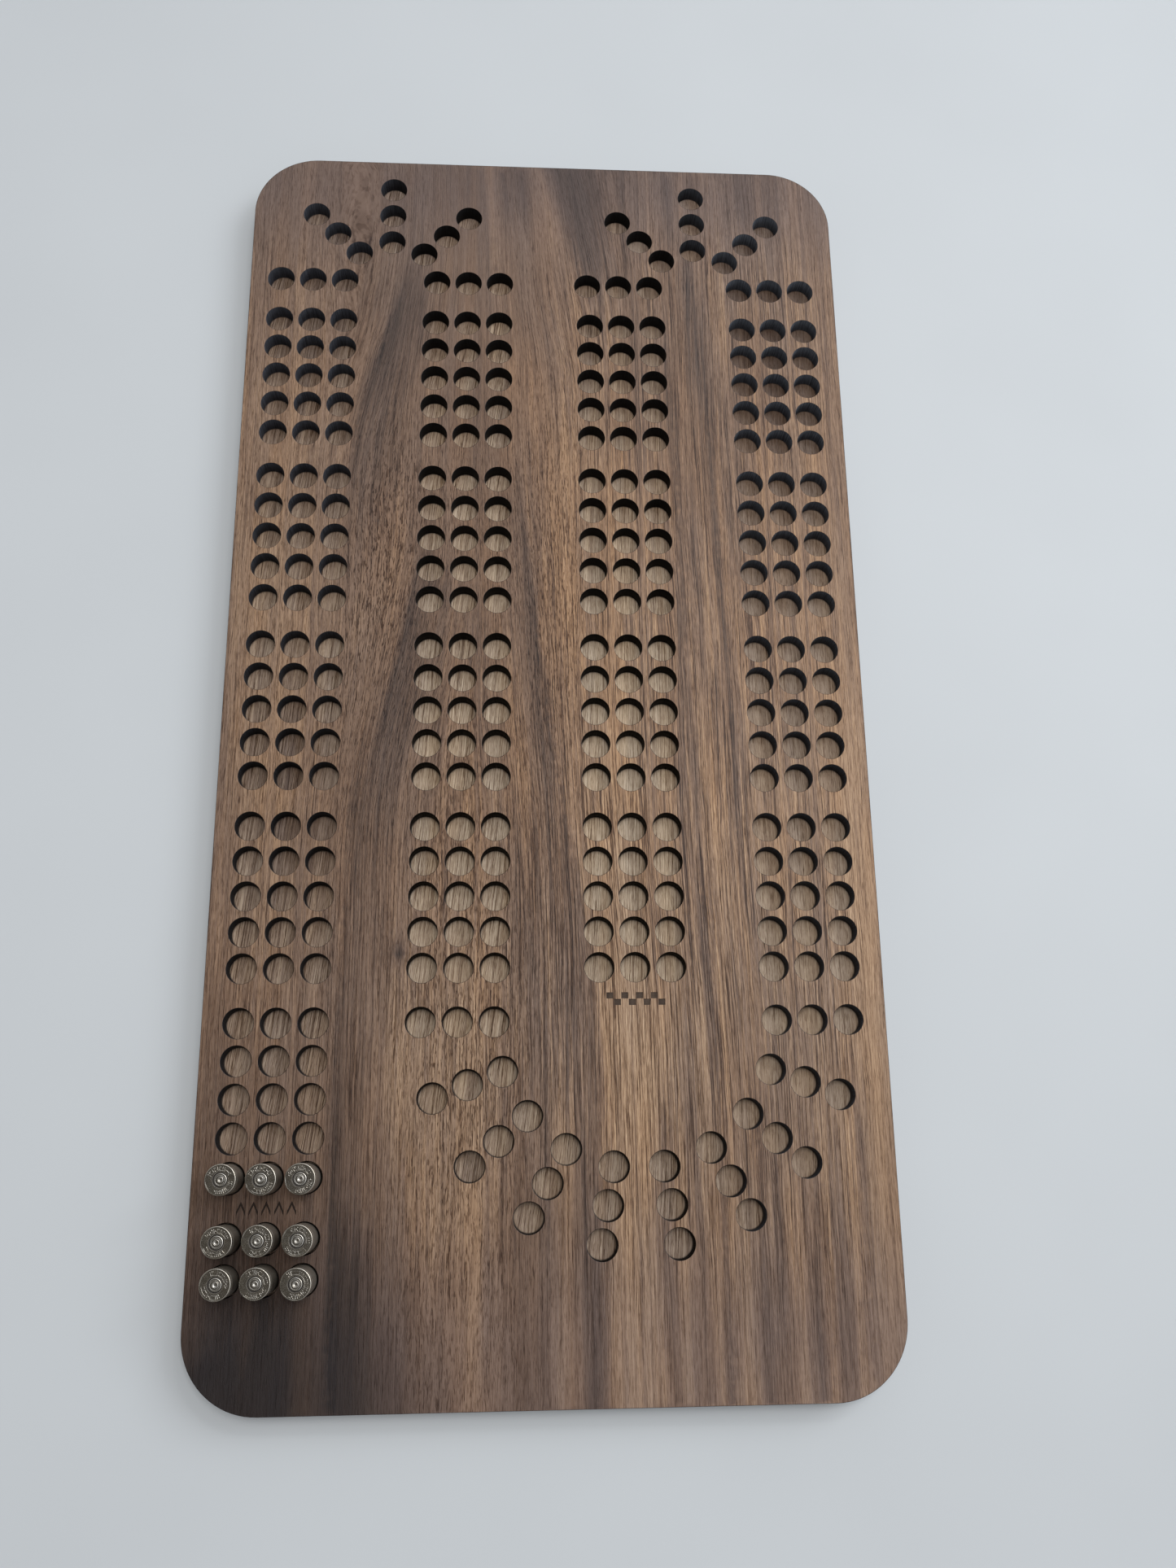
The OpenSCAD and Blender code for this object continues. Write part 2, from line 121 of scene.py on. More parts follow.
# =============================================================================
# Walnut figure of the top panel
# =============================================================================
# Growth-ring streaks, separated by semicolons. Each is: amount (positive darkens),
# width to the left, width to the right, then x,y points from the far end down.
STROKES = {
    "first cathedral, between the left lanes: sharp left edge, soft inside": """
0.42 1.1 8 -53,214 -55,198 -57,183 -60,168 -64,155 -68,142 -72,128 -74.5,112 -76,96 -77,80
 -77.5,62 -78,44 -78,26;
0.20 6 7 -52,204 -53,190 -54,168 -57,146 -61,124 -65,104 -69,84 -72,62 -74,40;
0.34 0.6 1.3 -55,196 -57,180 -60,167 -64,154 -68,141 -72,127 -74.5,112 -76,96 -76.5,80;
0.24 4 2.5 -49,206 -50,192 -50,176 -49,160 -49,140 -49,124;
-0.16 3 3 -66,184 -69,168 -73,150 -77,132 -80,112;
-0.16 6 6 -57,104 -58,84 -60,60 -62,34 -66,8;
0.20 0.8 0.8 -69,96 -70,70 -71,44;
0.18 0.6 0.6 -61,110 -62,88 -64,60""",
    "second cathedral": """
0.40 1 8 -45,80 -48,66 -50,54 -52,40 -54,26 -57,12 -60,-2 -63,-16 -67,-30 -70,-46;
0.26 10 8 -37,74 -38,58 -40,40 -44,20 -50,0 -56,-20 -62,-44 -64,-70;
0.32 0.6 1.1 -47,66 -49,58 -51.5,42 -54,26 -57,10 -60,-4 -64,-20 -68,-34;
0.40 1.4 0.9 -26.5,62 -26.5,50 -26.5,30 -26.3,8 -25.8,-14 -25.5,-40;
0.20 5 5 -23,60 -22,40 -21,16 -20,-16 -20,-44;
0.16 0.8 0.8 -38,40 -39,10 -40,-20 -41,-50""",
    "long dark band from there down to the start end": """
0.26 0.9 6 -72,6 -71,-8 -71,-24 -70,-44 -70,-62 -71,-84 -72,-104 -73,-130 -72.5,-160
 -71.5,-190 -71,-215 -70,-242;
0.28 0.5 1.1 -71.5,-6 -71,-28 -70,-50 -70,-70 -72,-90 -72.5,-120 -72,-150 -71.5,-190 -71,-240;
0.16 5 8 -63,-10 -62,-30 -61,-60 -63,-100 -62,-140 -61,-180 -61,-242;
0.50 7 7 -68,-164 -68,-180 -67,-190 -66,-210 -66,-242;
0.26 5 5 -50,-160 -50,-182 -49,-205 -48,-242;
-0.14 6 6 -55,-104 -55,-124 -55,-146 -55,-170 -55,-196;
0.20 1.6 1.6 -58,-60 -58,-84 -58,-104""",
    "left-hand corner of the start end": """
0.34 12 10 -98,-160 -96,-190 -94,-215 -94,-242;
0.30 3 4 -107,-160 -106.5,-195 -106,-242;
0.34 2.5 3 -93,-186 -92,-210 -92,-242;
0.22 1.4 1.4 -84,-190 -84,-215 -84,-242;
-0.20 2.5 2.5 -99,-176 -99,-205 -99,-232""",
    "third cathedral, sharp right edge": """
0.52 4.2 1.2 -13,118 -12,104 -10.5,92 -9,76 -7.5,58 -5.5,40 -3.5,22 -1.5,6 0.5,-10 2.5,-24
 5,-40 8,-56 11,-74 13.5,-92 15,-110 16,-135 16,-165 16.5,-200 17,-242;
0.36 0.7 0.7 -9.5,92 -8.5,76 -7,58 -5,40 -3,22 -1,6 1,-10 3,-24 5.5,-40 8.5,-56 11.5,-74
 13.8,-92;
0.24 6 3 -10,60 -8,36 -6,10 -3,-20 1,-50 5,-75 9,-100 11,-130 12,-160;
0.34 8 5 -9,-14 -7,-34 -5,-58 -3,-82 1,-105 3,-130 4,-160;
0.34 1.6 0.8 -10,-44 -8,-66 -6,-88 -4,-108 -2.5,-130 -1.5,-160 -1,-200 -1,-242;
0.22 0.7 0.7 2,-60 4,-84 6,-108 8,-140;
0.38 5.5 5 -9,-116 -9,-140 -9,-170 -9,-200 -9,-242;
0.34 4 1 13,-140 13.5,-165 14,-190 14.5,-215 15,-242;
-0.26 2.2 2.4 4,-116 4.5,-140 5.5,-170 6,-205 6,-240;
-0.18 1 1 -0.5,-80 0.5,-100 1,-125""",
    "far end, middle: light sweep beside a dark field": """
-0.38 2 1.6 -23,240 -22,226 -21,212 -20.5,200 -19.5,188 -18.5,172 -18,156;
0.26 0.9 0.9 -19,242 -17.5,232 -16,222 -14,208;
0.20 1.6 1.6 -12,242 -9,222 -7,204;
-0.32 3.5 1.8 -4,242 -2,232 1,220 4,208 7,196 10,182 13,168 14,154 14,138;
-0.18 3 3 2,196 4,180 6,164 7,144 8,120;
0.44 1.4 7 4,246 8,226 11,208 14,194 16,180 17,164;
0.30 8 7 18,242 20,222 22,202 24,186 25,168;
0.28 0.6 0.6 -4,190 -1,178 3,166 6,155 8.5,142 10,128;
0.26 0.8 0.6 0,160 4,148 8,134 10,120 11,104;
0.24 0.7 0.6 21.5,212 22,190 22.5,166 23,142;
-0.18 1.6 1.6 27,226 27,204 27,182;
0.30 1.4 1.2 31,242 32,214 33,190 34,165 35,140 36,108;
-0.26 3 2.5 41,242 42,226 43,210 44,190 44,172;
0.34 2.2 1.6 51,244 51,226 51,208 50,190;
-0.20 1.5 1.5 56,242 56,222 56,204""",
    "stripes between and beside the right lanes": """
0.44 1.8 1.4 58.5,222 59,206 60,188 60.5,170 61,152 61.5,132 62,114;
0.22 3 3 61,196 62,170 62,144 61,116;
0.55 1.2 0.8 62,158 63.5,134 64,112 65,92 66,66 67,40 68,10 69,-20 69.5,-50 70,-76;
-0.28 3 2.5 70,242 71,214 72,190 72.5,166 72,140 71,112;
0.28 1.1 0.9 76,242 75.8,214 75.5,184 75,150 74.5,120 74.5,86;
0.20 3 3 83,242 83,222 84,204;
0.22 3 3 95,242 95,212 95,186 95,160;
-0.16 4 4 103,240 104,205 105,180;
0.62 1.7 0.9 49,164 50,146 50.5,124 50.8,104 51,88 51.5,66 52,44 52.5,20 53,-4 53.5,-30
 54.5,-60 56,-88 57.5,-115 58.5,-145 59,-180 59.5,-242;
0.34 1.1 1.1 55,112 56,84 56.5,54 57,24 58,-10;
-0.18 1.4 1.4 59,124 60,96 60.5,70 61,40 61.5,10 62,-20 63,-60 64,-104 65,-132;
0.30 0.9 0.8 69,116 70,80 71,40 71.5,6;
-0.16 1.4 1.4 72,70 73,40 73.5,6 74,-30;
0.42 1.2 1.2 49,14 49.3,-12 49.6,-42 50,-74 50,-108 50,-140;
-0.20 1 1 46.8,-30 47,-60 47.5,-92;
0.32 0.6 0.6 58.2,-46 58.4,-66 58.6,-88 58.8,-112;
0.26 1 1 66,-70 66,-96 66.4,-124 66.4,-150;
0.26 0.8 0.8 73.6,-60 73.4,-84 73.6,-110;
0.34 1.2 0.9 86.8,-14 86.8,-38 87,-64 87,-90 87.4,-116 88,-146;
0.22 0.7 0.7 99.4,-20 99.4,-50 99.6,-84 100,-110;
0.24 1.4 1.2 86.6,196 86.6,170 86.5,140 86.5,110 86,76;
0.28 1 1 86.5,70 86.5,40 87,6;
0.20 0.8 0.7 98.5,190 98.8,150 99,110 99,60 99.2,10;
0.24 1.4 1.6 113,196 113.5,166 113.5,132 113.5,100 113.5,66 113,36;
-0.20 3 3 115,20 114.5,-30 114,-80 114,-130 113.5,-190;
0.20 0.9 0.9 111.5,80 111.6,40 111.8,0 112,-40""",
    "light middle lane and right half of the start end": """
-0.20 9 9 28,132 28,100 28,60 28,20 28,-20 28,-60 28,-90;
-0.42 6 8 27,-70 27,-92 27,-110 27,-136 27,-166 27,-196 27,-242;
-0.16 2 2 22,-100 22,-130 22,-160;
0.30 0.7 0.7 18.5,74 18.3,50 18.1,28 18,4;
0.22 0.6 0.6 24.5,66 24.5,34 24.5,0 24.5,-36;
0.30 0.9 0.9 31.4,56 31.8,38 32,20 32,0;
0.34 1.2 1.2 43,56 43,38 43,20 43,0;
0.24 0.6 0.6 37,48 37,10 37.2,-30 37.4,-70;
0.20 0.5 0.5 11.8,60 12,20 12.2,-20 12.6,-52;
0.24 0.7 0.7 29.5,-150 29.8,-176 30,-205 30.2,-242;
0.42 1.3 1.2 39,-112 39.4,-136 39.8,-162 40,-190 40.5,-215 41,-242;
0.18 0.9 0.9 46.5,-106 46.5,-140 46.6,-170;
0.30 2.2 2 51,-160 51.5,-185 52,-212 52,-242;
0.22 0.7 0.7 34,-112 34.4,-140 34.6,-170;
-0.24 1.5 1.5 44,-150 44.4,-180 44.6,-210 45,-242;
-0.28 1.6 1.6 55.4,-140 55.6,-170 56,-205 56,-242;
-0.22 2.4 2.4 64.4,-130 64.8,-160 65,-200 65,-242;
0.42 1.1 1.1 70.2,-112 70.8,-136 71,-164 71.4,-200 71.6,-242;
0.36 1.2 1.2 76,-128 76.8,-156 77.2,-190 77.6,-242;
-0.24 2 2 82,-150 82,-180 82.4,-210 82.4,-242;
0.48 1.6 1.2 87.8,-130 88.6,-156 89.2,-184 89.6,-212 90,-242;
-0.34 0.8 0.8 92.2,-116 92.4,-146 92.8,-180 93,-242;
0.28 2.5 2.5 97.6,-160 98,-190 98.4,-242;
-0.20 1.5 1.5 102.6,-120 103,-160 103,-200 103,-242;
0.38 1 1 105.8,-110 106,-140 106.6,-175 107,-242""",
    "quiet left-hand zone, then light and fine streaks left of the middle": """
0.20 1 1 -87.6,86 -87.4,50 -87.3,10 -87,-30 -87,-80 -87,-130;
0.16 0.8 0.8 -100.6,80 -100.8,40 -101,0 -101,-50 -101,-100;
0.20 1 1.2 -115.4,214 -115,190 -114.6,160 -115,124;
-0.16 5 5 -103,100 -103,60 -103,20 -104,-30 -104,-80;
-0.14 3 3 -114,120 -114,70 -114,10 -114,-60;
0.24 0.5 0.5 -75.6,-4 -75.4,-34 -75.4,-64 -75.8,-100;
0.20 0.5 0.5 -73.6,-20 -73.2,-50 -73.4,-82 -74.6,-120;
-0.22 8 8 -33,-50 -33,-80 -33,-112 -34,-150 -32,-184 -30,-216;
-0.24 4 4 -26,-146 -26,-170 -26,-198 -26,-242;
-0.20 2.5 2.5 -41,-140 -41,-170 -41,-205;
0.22 1.4 1.4 -20.6,-170 -20.4,-200 -20,-242;
0.18 1 1 -34.6,-180 -34.6,-210 -34.6,-242;
-0.20 2.5 2.5 -15,160 -14.5,138 -14,116;
0.22 1.2 1.2 -13.6,140 -13.4,124 -12.8,106;
-0.20 3 3 2,100 4,76 6,50 8,26 9,4""",
}

# Ring edges that bend the fine grain with them: x, y points from the far end down
FLOW_LINES = [
    [(-54, 240), (-54, 192), (-61, 162), (-68, 138), (-75, 110), (-77, 90), (-77, 60), (-77, -240)],
    [(-48, 240), (-47, 70), (-51, 40), (-58, 8), (-66, -20), (-71, -45), (-71, -240)],
    [(-12, 240), (-11, 100), (-6, 55), (-1, 4), (4, -28), (10, -62), (15, -100), (16, -140),
     (17, -240)],
    [(-8, 240), (-4, 190), (3, 160), (9, 140), (11, 100), (11, -240)],
    [(3, 240), (8, 218), (15, 184), (17, 160), (17, -240)],
    [(50, 240), (50, 110), (53, 30), (54, -50), (58, -130), (59, -240)],
    [(95, 240), (97, 0), (98, -240)],
    [(-110, 240), (-110, -240)],
    [(-95, 240), (-95, -240)],
]

# All the bump tables below: (amount, x, y, half width, half height)
# Small dark marks
SPOTS = [
    (1.0, -52.5, -91.0, 0.9, 1.4), (0.45, -52.5, -91.0, 2.2, 3.2), (-0.15, -49.0, -92.0, 1.6, 4.0),
    (0.9, -39.6, 46.6, 0.4, 0.8), (0.7, -40.2, 43.8, 0.4, 0.6), (0.8, -64.6, 75.0, 0.35, 0.5),
    (0.30, -40.5, 47.0, 4.0, 5.0), (0.5, 58.6, -108.0, 0.4, 1.6), (0.4, 86.9, -60.0, 0.9, 5.0),
    (0.35, 87.0, -84.0, 0.9, 6.0), (0.30, 47.4, 152.0, 0.8, 7.0),
]
# Light and dark areas; the dark one at -96, -184 is painted shadow of the pegs
AREAS = [
    (0.54, -70, 232, 80, 34), (0.34, 70, 236, 60, 22), (1.25, -104, -236, 34, 22),
    (0.38, -92, -206, 26, 18), (0.28, -20, -246, 60, 18), (0.36, 70, -240, 60, 28),
    # the first entry on this line is painted shadow under the pegs
    (0.30, -96, -184, 24, 22), (0.10, -62, 120, 12, 50), (0.14, -62, 20, 12, 50),
    (0.14, -64, -70, 14, 50), (0.38, 61, 122, 12, 44), (0.12, -2, 105, 12, 50),
    (0.10, -2, 25, 12, 40), (0.22, -118, -90, 9, 80), (0.10, 0, 232, 30, 24),
    (0.26, -74, 158, 7, 22), (0.30, -38.5, 136, 2.4, 32), (0.38, -26, 122, 3.0, 30),
    (0.40, 37.6, 122, 1.8, 50), (0.26, 7, 168, 4.5, 24), (0.16, 63, 110, 2.5, 60),
    (0.14, 52, 172, 4, 18), (0.26, 64, -12, 7, 20), (0.14, -44, 66, 6, 16), (0.12, -74, 18, 7, 26),
    (0.26, -34, -143, 3.5, 18), (0.30, -98, -152, 17, 34), (0.22, -68, -150, 7, 30),
    (0.16, 45, -152, 4, 18), (0.16, 4, -194, 5, 14), (0.16, -30, -210, 6, 18),
    (0.34, -116, -236, 10, 10), (0.10, -10, 150, 5, 18), (0.10, 86, 88, 7, 16),
    (0.12, 76, -136, 5, 18), (-0.13, -105, 30, 9, 90), (-0.16, -73, 80, 4, 14),
    (-0.24, 8, 106, 3.5, 20), (-0.16, 10, 28, 3.0, 38), (-0.24, -8, -50, 4, 26),
    (-0.22, 23, -80, 4, 26), (-0.24, 52, -66, 3, 24), (-0.24, 60, -62, 2.5, 20),
    (-0.34, -52, -122, 8, 26), (-0.22, -24, -138, 5, 16), (-0.22, 35, -132, 3, 18),
    (-0.24, 86, -68, 3.5, 22), (-0.18, 106, 110, 4, 60), (-0.20, 106, 10, 4, 50),
    (-0.26, 112, -110, 6, 80), (-0.26, 60, -238, 60, 10), (-0.16, 20, -166, 4, 10),
    (-0.12, -52, -196, 6, 16), (-0.14, 8, -120, 4, 14), (-0.12, -2, 214, 14, 14),
    (-0.14, 26, 10, 3, 60), (-0.12, 78, 152, 4, 16), (0.18, -28, 112, 18, 50),
    (0.16, -66, 168, 10, 24), (0.16, 110, 202, 10, 24), (0.16, -112, -150, 6, 30),
    (0.40, -117, -237, 9, 9), (0.14, -16, -72, 4, 18), (0.12, 34, 176, 8, 20),
    (0.14, -74, -150, 5, 30), (-0.11, 62, -20, 52, 110), (-0.10, -105, 60, 10, 90),
    (-0.18, 7, 104, 4, 18), (-0.20, 21, -42, 5, 22), (-0.20, 0, -92, 4, 18),
    (-0.22, 35, -142, 3, 18), (-0.24, 59, -138, 4, 22), (-0.16, 56, 22, 3, 18),
    (-0.20, 86, -72, 4, 22), (-0.16, -46, -138, 5, 22), (-0.14, -8, 4, 5, 26),
    (-0.14, -73, 76, 6, 14), (-0.12, 20, -222, 50, 16), (-0.12, 112, -60, 6, 120),
]
# Where the open pores show as short dark dashes
PORE_AREAS = [
    (0.80, -62, 46, 11, 50), (0.65, -30, -110, 18, 90), (0.55, -30, 76, 14, 30),
    (0.65, 2, 40, 9, 60), (0.30, -76, -60, 5, 60), (0.25, -104, 0, 16, 160),
]
# Where the fine straight grain lines are stronger or weaker
STRIPE_AREAS = [
    (0.46, 50, -52, 46, 80), (0.36, 0, -72, 10, 50), (0.22, 6, -140, 16, 26),
    (-0.14, 62, -180, 50, 30), (-0.20, 113, -60, 5, 120), (0.30, -50, -90, 34, 60),
]
# Backer panel: even pale walnut with a few darker places; two of them, the far end at -30, 200 and
# the far end of the right-hand lane at 92, 150, are painted shade on the hole floors
BACKER_AREAS = [
    (0.18, -94, -30, 16, 26), (0.52, -86, -45, 9, 22), (0.35, -97, -20, 9, 30),
    (0.55, -94, 150, 22, 60), (0.16, -94, -130, 22, 60), (0.98, 92, 150, 22, 52),
    (0.14, 92, 40, 20, 50), (0.20, -30, 200, 160, 30), (0.16, -40, -190, 160, 30),
    (-0.84, 30, -26, 26, 78), (-0.46, -32, -20, 22, 80), (-0.24, 92, -96, 20, 34),
]

# sRGB walnut colours, one for each tone in TONES, light to dark
TONES = (-1.2, -0.6, -0.25, 0.0, 0.35, 0.7, 1.1, 1.7)
TOP_PALETTE = ((179, 151, 124), (156, 129, 105), (139, 115, 96), (125, 103, 88),
               (107, 88, 76), (89, 73, 64), (69, 57, 50), (45, 39, 37))
BACKER_PALETTE = ((206, 188, 166), (186, 167, 146), (168, 149, 131), (153, 134, 118),
                  (132, 114, 101), (108, 91, 81), (82, 68, 62), (56, 45, 42))


def smoothstep(t):
    return t * t * (3 - 2 * t)


def rise(x, centre, width):
    """Soft step from 0 to 1; a negative width falls instead."""
    return 1 / (1 + np.exp(-(x - centre) / width))


def bump_sum(x, y, bumps):
    total = np.zeros_like(x)
    for amount, cx, cy, half_w, half_h in bumps:
        total += amount * np.exp(-0.5 * (((x - cx) / half_w) ** 2 + ((y - cy) / half_h) ** 2))
    return total


def smooth_path(points, count=64):
    """Even steps of y along a path and its smoothed x there, y rising."""
    x, y = np.array(points, float)[::-1].T
    ys = np.linspace(y[0], y[-1], count)
    xs = np.interp(ys, y, x)
    kernel = np.array([1, 4, 6, 4, 1], float)
    kernel /= kernel.sum()
    for _ in range(3):
        before = [2 * xs[0] - xs[2], 2 * xs[0] - xs[1]]
        after = [2 * xs[-1] - xs[-2], 2 * xs[-1] - xs[-3]]
        xs = np.convolve(np.concatenate([before, xs, after]), kernel, "valid")
    return ys, xs


def stroke_sum(x, y):
    """Sum of all STROKES, each wavering and fading out towards its ends."""
    rng = np.random.RandomState(3)
    total = np.zeros_like(x)
    for entry in ";".join(STROKES.values()).split(";"):
        fields = entry.split()
        amount, left, right = map(float, fields[:3])
        ys, xs = smooth_path([f.split(",") for f in fields[3:]])
        phase = rng.uniform(0, 6.28, 3)
        waver = 0.5 * np.sin(y / 17.0 + phase[0]) + 0.3 * np.sin(y / 7.3 + phase[1])
        offset = x - (np.interp(y, ys, xs) + 0.6 * waver)
        width = np.where(offset < 0, left, right) * (1 + 0.22 * np.sin(y / 23.0 + phase[2]))
        low, high = ys[0], ys[-1]
        fade = min(52.0, (high - low) * 0.42)
        # strokes that reach an end of the board don't fade there
        past_low = fade if low < -225 else 0
        past_high = fade if high > 225 else 0
        strength = np.clip((y - low + past_low) / fade, 0, 1)
        strength = strength * np.clip((high - y + past_high) / fade, 0, 1)
        total += amount * np.exp(-0.5 * (offset / width) ** 2) * smoothstep(strength)
    return total


def top_grain(x, y):
    """Coordinate across the grain, bent along FLOW_LINES."""
    shift, weight = np.zeros_like(x), np.full_like(x, 0.15)
    for points in FLOW_LINES:
        ys, xs = smooth_path(points, 96)
        centre = np.interp(y, ys, xs)
        near = np.exp(-0.5 * ((x - centre) / 14.0) ** 2)
        shift += near * (centre - float(np.interp(0.0, ys, xs)))
        weight += near
    return x - shift / weight


def top_stripe(x, y):
    """Strength of the fine grain lines: stronger on the right, weaker at both ends."""
    strength = 0.66 + 0.44 * rise(x, 8, 6.0) + bump_sum(x, y, STRIPE_AREAS)
    strength *= 1 - 0.52 * (rise(y, 205, 7) + rise(y, -206, -7))
    strength += bump_sum(x, y, [(-0.15, 0, 220, 26, 24)])
    strength *= 1 - 0.35 * rise(x, 109, 2.0)
    return np.clip(strength, 0.2, 2.2)


def backer_grain(x, y):
    """Coordinate across the grain: leaning on the left, upright on the right."""
    lean = np.clip((60 - x) / 60, 0, 1)
    return x - 0.11 * lean * (y + 240) + 1.5 * np.sin(y / 60)


# =============================================================================
# Plane geometry
# =============================================================================
def outline_points(inset, arc=20, step=9.0):
    """The board's rounded rectangle, counter-clockwise, inset from its edge."""
    radius = CORNER_R - inset
    cx, cy = HALF_W - CORNER_R, HALF_L - CORNER_R
    points = []
    for sx, sy, start in ((1, 1, 0), (-1, 1, 90), (-1, -1, 180), (1, -1, 270)):
        for i in range(arc + 1):
            a = math.radians(start + 90 * i / arc)
            points.append((sx * cx + radius * math.cos(a), sy * cy + radius * math.sin(a)))
    divided = []
    for p, q in zip(points, points[1:] + points[:1]):
        n = max(1, int(round(math.hypot(q[0] - p[0], q[1] - p[1]) / step)))
        for k in range(n):
            divided.append((p[0] + (q[0] - p[0]) * k / n, p[1] + (q[1] - p[1]) * k / n))
    return divided


def circle_points(cx, cy, radius, count, start=0.0):
    angles = [start + 2 * math.pi * i / count for i in range(count)]
    return [(cx + radius * math.cos(a), cy + radius * math.sin(a)) for a in angles]


def outline_distance(x, y):
    """Distance from the board's edge, positive inside."""
    qx = np.abs(x) - (HALF_W - CORNER_R)
    qy = np.abs(y) - (HALF_L - CORNER_R)
    outside = np.hypot(np.maximum(qx, 0), np.maximum(qy, 0))
    return CORNER_R - outside - np.minimum(np.maximum(qx, qy), 0)


def hole_distance(x, y):
    """Distance from the nearest hole's edge, negative inside; 1e9 far from all holes."""
    best = np.full(x.shape, 1e9)
    for cx, cy, radius in HOLES:
        near = (np.abs(x - cx) < 16) & (np.abs(y - cy) < 16)
        if near.any():
            distance = np.hypot(x[near] - cx, y[near] - cy) - radius
            best[near] = np.minimum(best[near], distance)
    return best


def in_polygon(px, py, polygon):
    inside = np.zeros(px.shape, bool)
    for (x1, y1), (x2, y2) in zip(polygon, polygon[1:] + polygon[:1]):
        if y1 != y2:
            crosses_x = (x2 - x1) * (py - y1) / (y2 - y1) + x1
            inside ^= ((y1 > py) != (y2 > py)) & (px < crosses_x)
    return inside


def signed_area(polygon):
    pairs = zip(polygon, polygon[1:] + polygon[:1])
    return 0.5 * sum(p[0] * q[1] - q[0] * p[1] for p, q in pairs)


def offset_polygon(polygon, distance):
    """Moves each side outwards by a distance, with limited mitres."""
    side = 1 if signed_area(polygon) > 0 else -1
    count = len(polygon)
    moved = []
    for i in range(count):
        before, point, after = (Vector(polygon[(i + k) % count]) for k in (-1, 0, 1))
        edge1, edge2 = (point - before).normalized(), (after - point).normalized()
        normal1 = Vector((edge1.y, -edge1.x)) * side
        normal2 = Vector((edge2.y, -edge2.x)) * side
        mitre = normal1 + normal2
        mitre = mitre.normalized() if mitre.length > 1e-6 else normal1
        stretch = min(2.5, 1 / max(0.3, mitre.dot(normal1)))
        moved.append(tuple(point + mitre * distance * stretch))
    return moved


def grid_points(step_x, step_y, edge_gap, hole_gap=None, marks=()):
    """Jittered grid over the board, clear of its edge, its holes and the marks."""
    X, Y = np.meshgrid(np.arange(-HALF_W + 1.0, HALF_W - 0.9, step_x),
                       np.arange(-HALF_L + 1.0, HALF_L - 0.9, step_y))
    rng = np.random.RandomState(7)
    x = (X + rng.uniform(-0.2, 0.2, X.shape) * step_x).ravel()
    y = (Y + rng.uniform(-0.35, 0.35, Y.shape) * step_y).ravel()
    keep = outline_distance(x, y) > edge_gap
    if hole_gap is not None:
        keep &= hole_distance(x, y) > hole_gap
    for mark in marks:
        (x0, y0), (x1, y1) = np.min(mark, 0) - 0.3, np.max(mark, 0) + 0.3
        keep &= ~((x > x0) & (x < x1) & (y > y0) & (y < y1))
    return list(zip(x[keep].tolist(), y[keep].tolist()))


# =============================================================================
# Panels
# =============================================================================
FACE, CUT_EDGE, HOLE_WALL, MARK = range(4)  # material slots of the panels
EDGE = 0.05        # tiny burnt chamfer round every cut edge
BURN = 0.16        # width of the scorched rim
SHADE_RING = 0.48        # width of the ring of painted shade on the floor of each hole, at the foot of its wall
HOLE_SEGMENTS = 56
RING_SEGMENTS = 40
WALL_LOOP = 1.4    # height of the loop near the foot of each hole wall
MARK_DEPTH = 0.25
MARK_DRAFT = 0.05  # how far a mark's floor is inset
MARK_CLEAR = 0.22  # margin round a mark kept free of grid points


class Sheet:
    """Collects the vertices and faces of one panel."""

    def __init__(self):
        self.vertices, self.faces, self.slots = [], [], []

    def face(self, ids, slot):
        self.faces.append(tuple(ids))
        self.slots.append(slot)

    def ring(self, points, z):
        first = len(self.vertices)
        self.vertices += [(x, y, z) for x, y in points]
        return list(range(first, first + len(points)))

    def bridge(self, a, b, slot):
        n = len(a)
        for i in range(n):
            self.face((a[i], a[(i + 1) % n], b[(i + 1) % n], b[i]), slot)

    def plane(self, z, loops, extra_loops, grid, keep, up):
        """Triangulates loops and grid at height z where keep(x, y) holds.

        Returns the vertex ids of each of loops; extra_loops only shape the triangles.
        """
        points, edges, spans = [], [], []
        for loop in loops + extra_loops:
            first, n = len(points), len(loop)
            points += [Vector(p) for p in loop]
            edges += [(first + i, first + (i + 1) % n) for i in range(n)]
            spans.append((first, n))
        points += [Vector(p) for p in grid]
        out_points, _, out_faces, origins, _, _ = delaunay_2d_cdt(points, edges, [], 0, 1e-5)
        new_id = {old: i for i, olds in enumerate(origins) for old in olds}
        base = len(self.vertices)
        self.vertices += [(p.x, p.y, z) for p in out_points]
        triangles = np.array([f for f in out_faces if len(f) == 3])
        corners = np.array([(p.x, p.y) for p in out_points])[triangles]
        centres = corners.mean(1)
        kept = keep(centres[:, 0], centres[:, 1])
        (ux, uy), (vx, vy) = ((corners[:, k] - corners[:, 0]).T for k in (1, 2))
        areas = ux * vy - vx * uy
        for triangle, area in zip(triangles[kept], areas[kept]):
            ids = [int(i) + base for i in triangle]
            self.face(ids if (area > 0) == up else ids[::-1], FACE)
        return [[base + new_id[first + i] for i in range(n)] for first, n in spans[:len(loops)]]

    def mesh(self, name):
        """Mesh of the faces, without the vertices that none of them uses."""
        vertices = np.array(self.vertices, float) * MM
        used = np.zeros(len(vertices), bool)
        for ids in self.faces:
            used[list(ids)] = True
        new_id = np.cumsum(used) - 1
        mesh = bpy.data.meshes.new(name)
        faces = [tuple(int(new_id[i]) for i in ids) for ids in self.faces]
        mesh.from_pydata([tuple(p) for p in vertices[used]], [], faces)
        mesh.polygons.foreach_set("material_index", np.array(self.slots, np.int32))
        mesh.update()
        mesh.validate()
        return mesh


def float_attribute(mesh, name, values):
    attribute = mesh.attributes.new(name, "FLOAT", "POINT")
    attribute.data.foreach_set("value", np.asarray(values, np.float32))


def mesh_points(mesh):
    """x, y and z arrays of a mesh in mm."""
    coords = np.empty(len(mesh.vertices) * 3)
    mesh.vertices.foreach_get("co", coords)
    return (coords.reshape(-1, 3) / MM).T


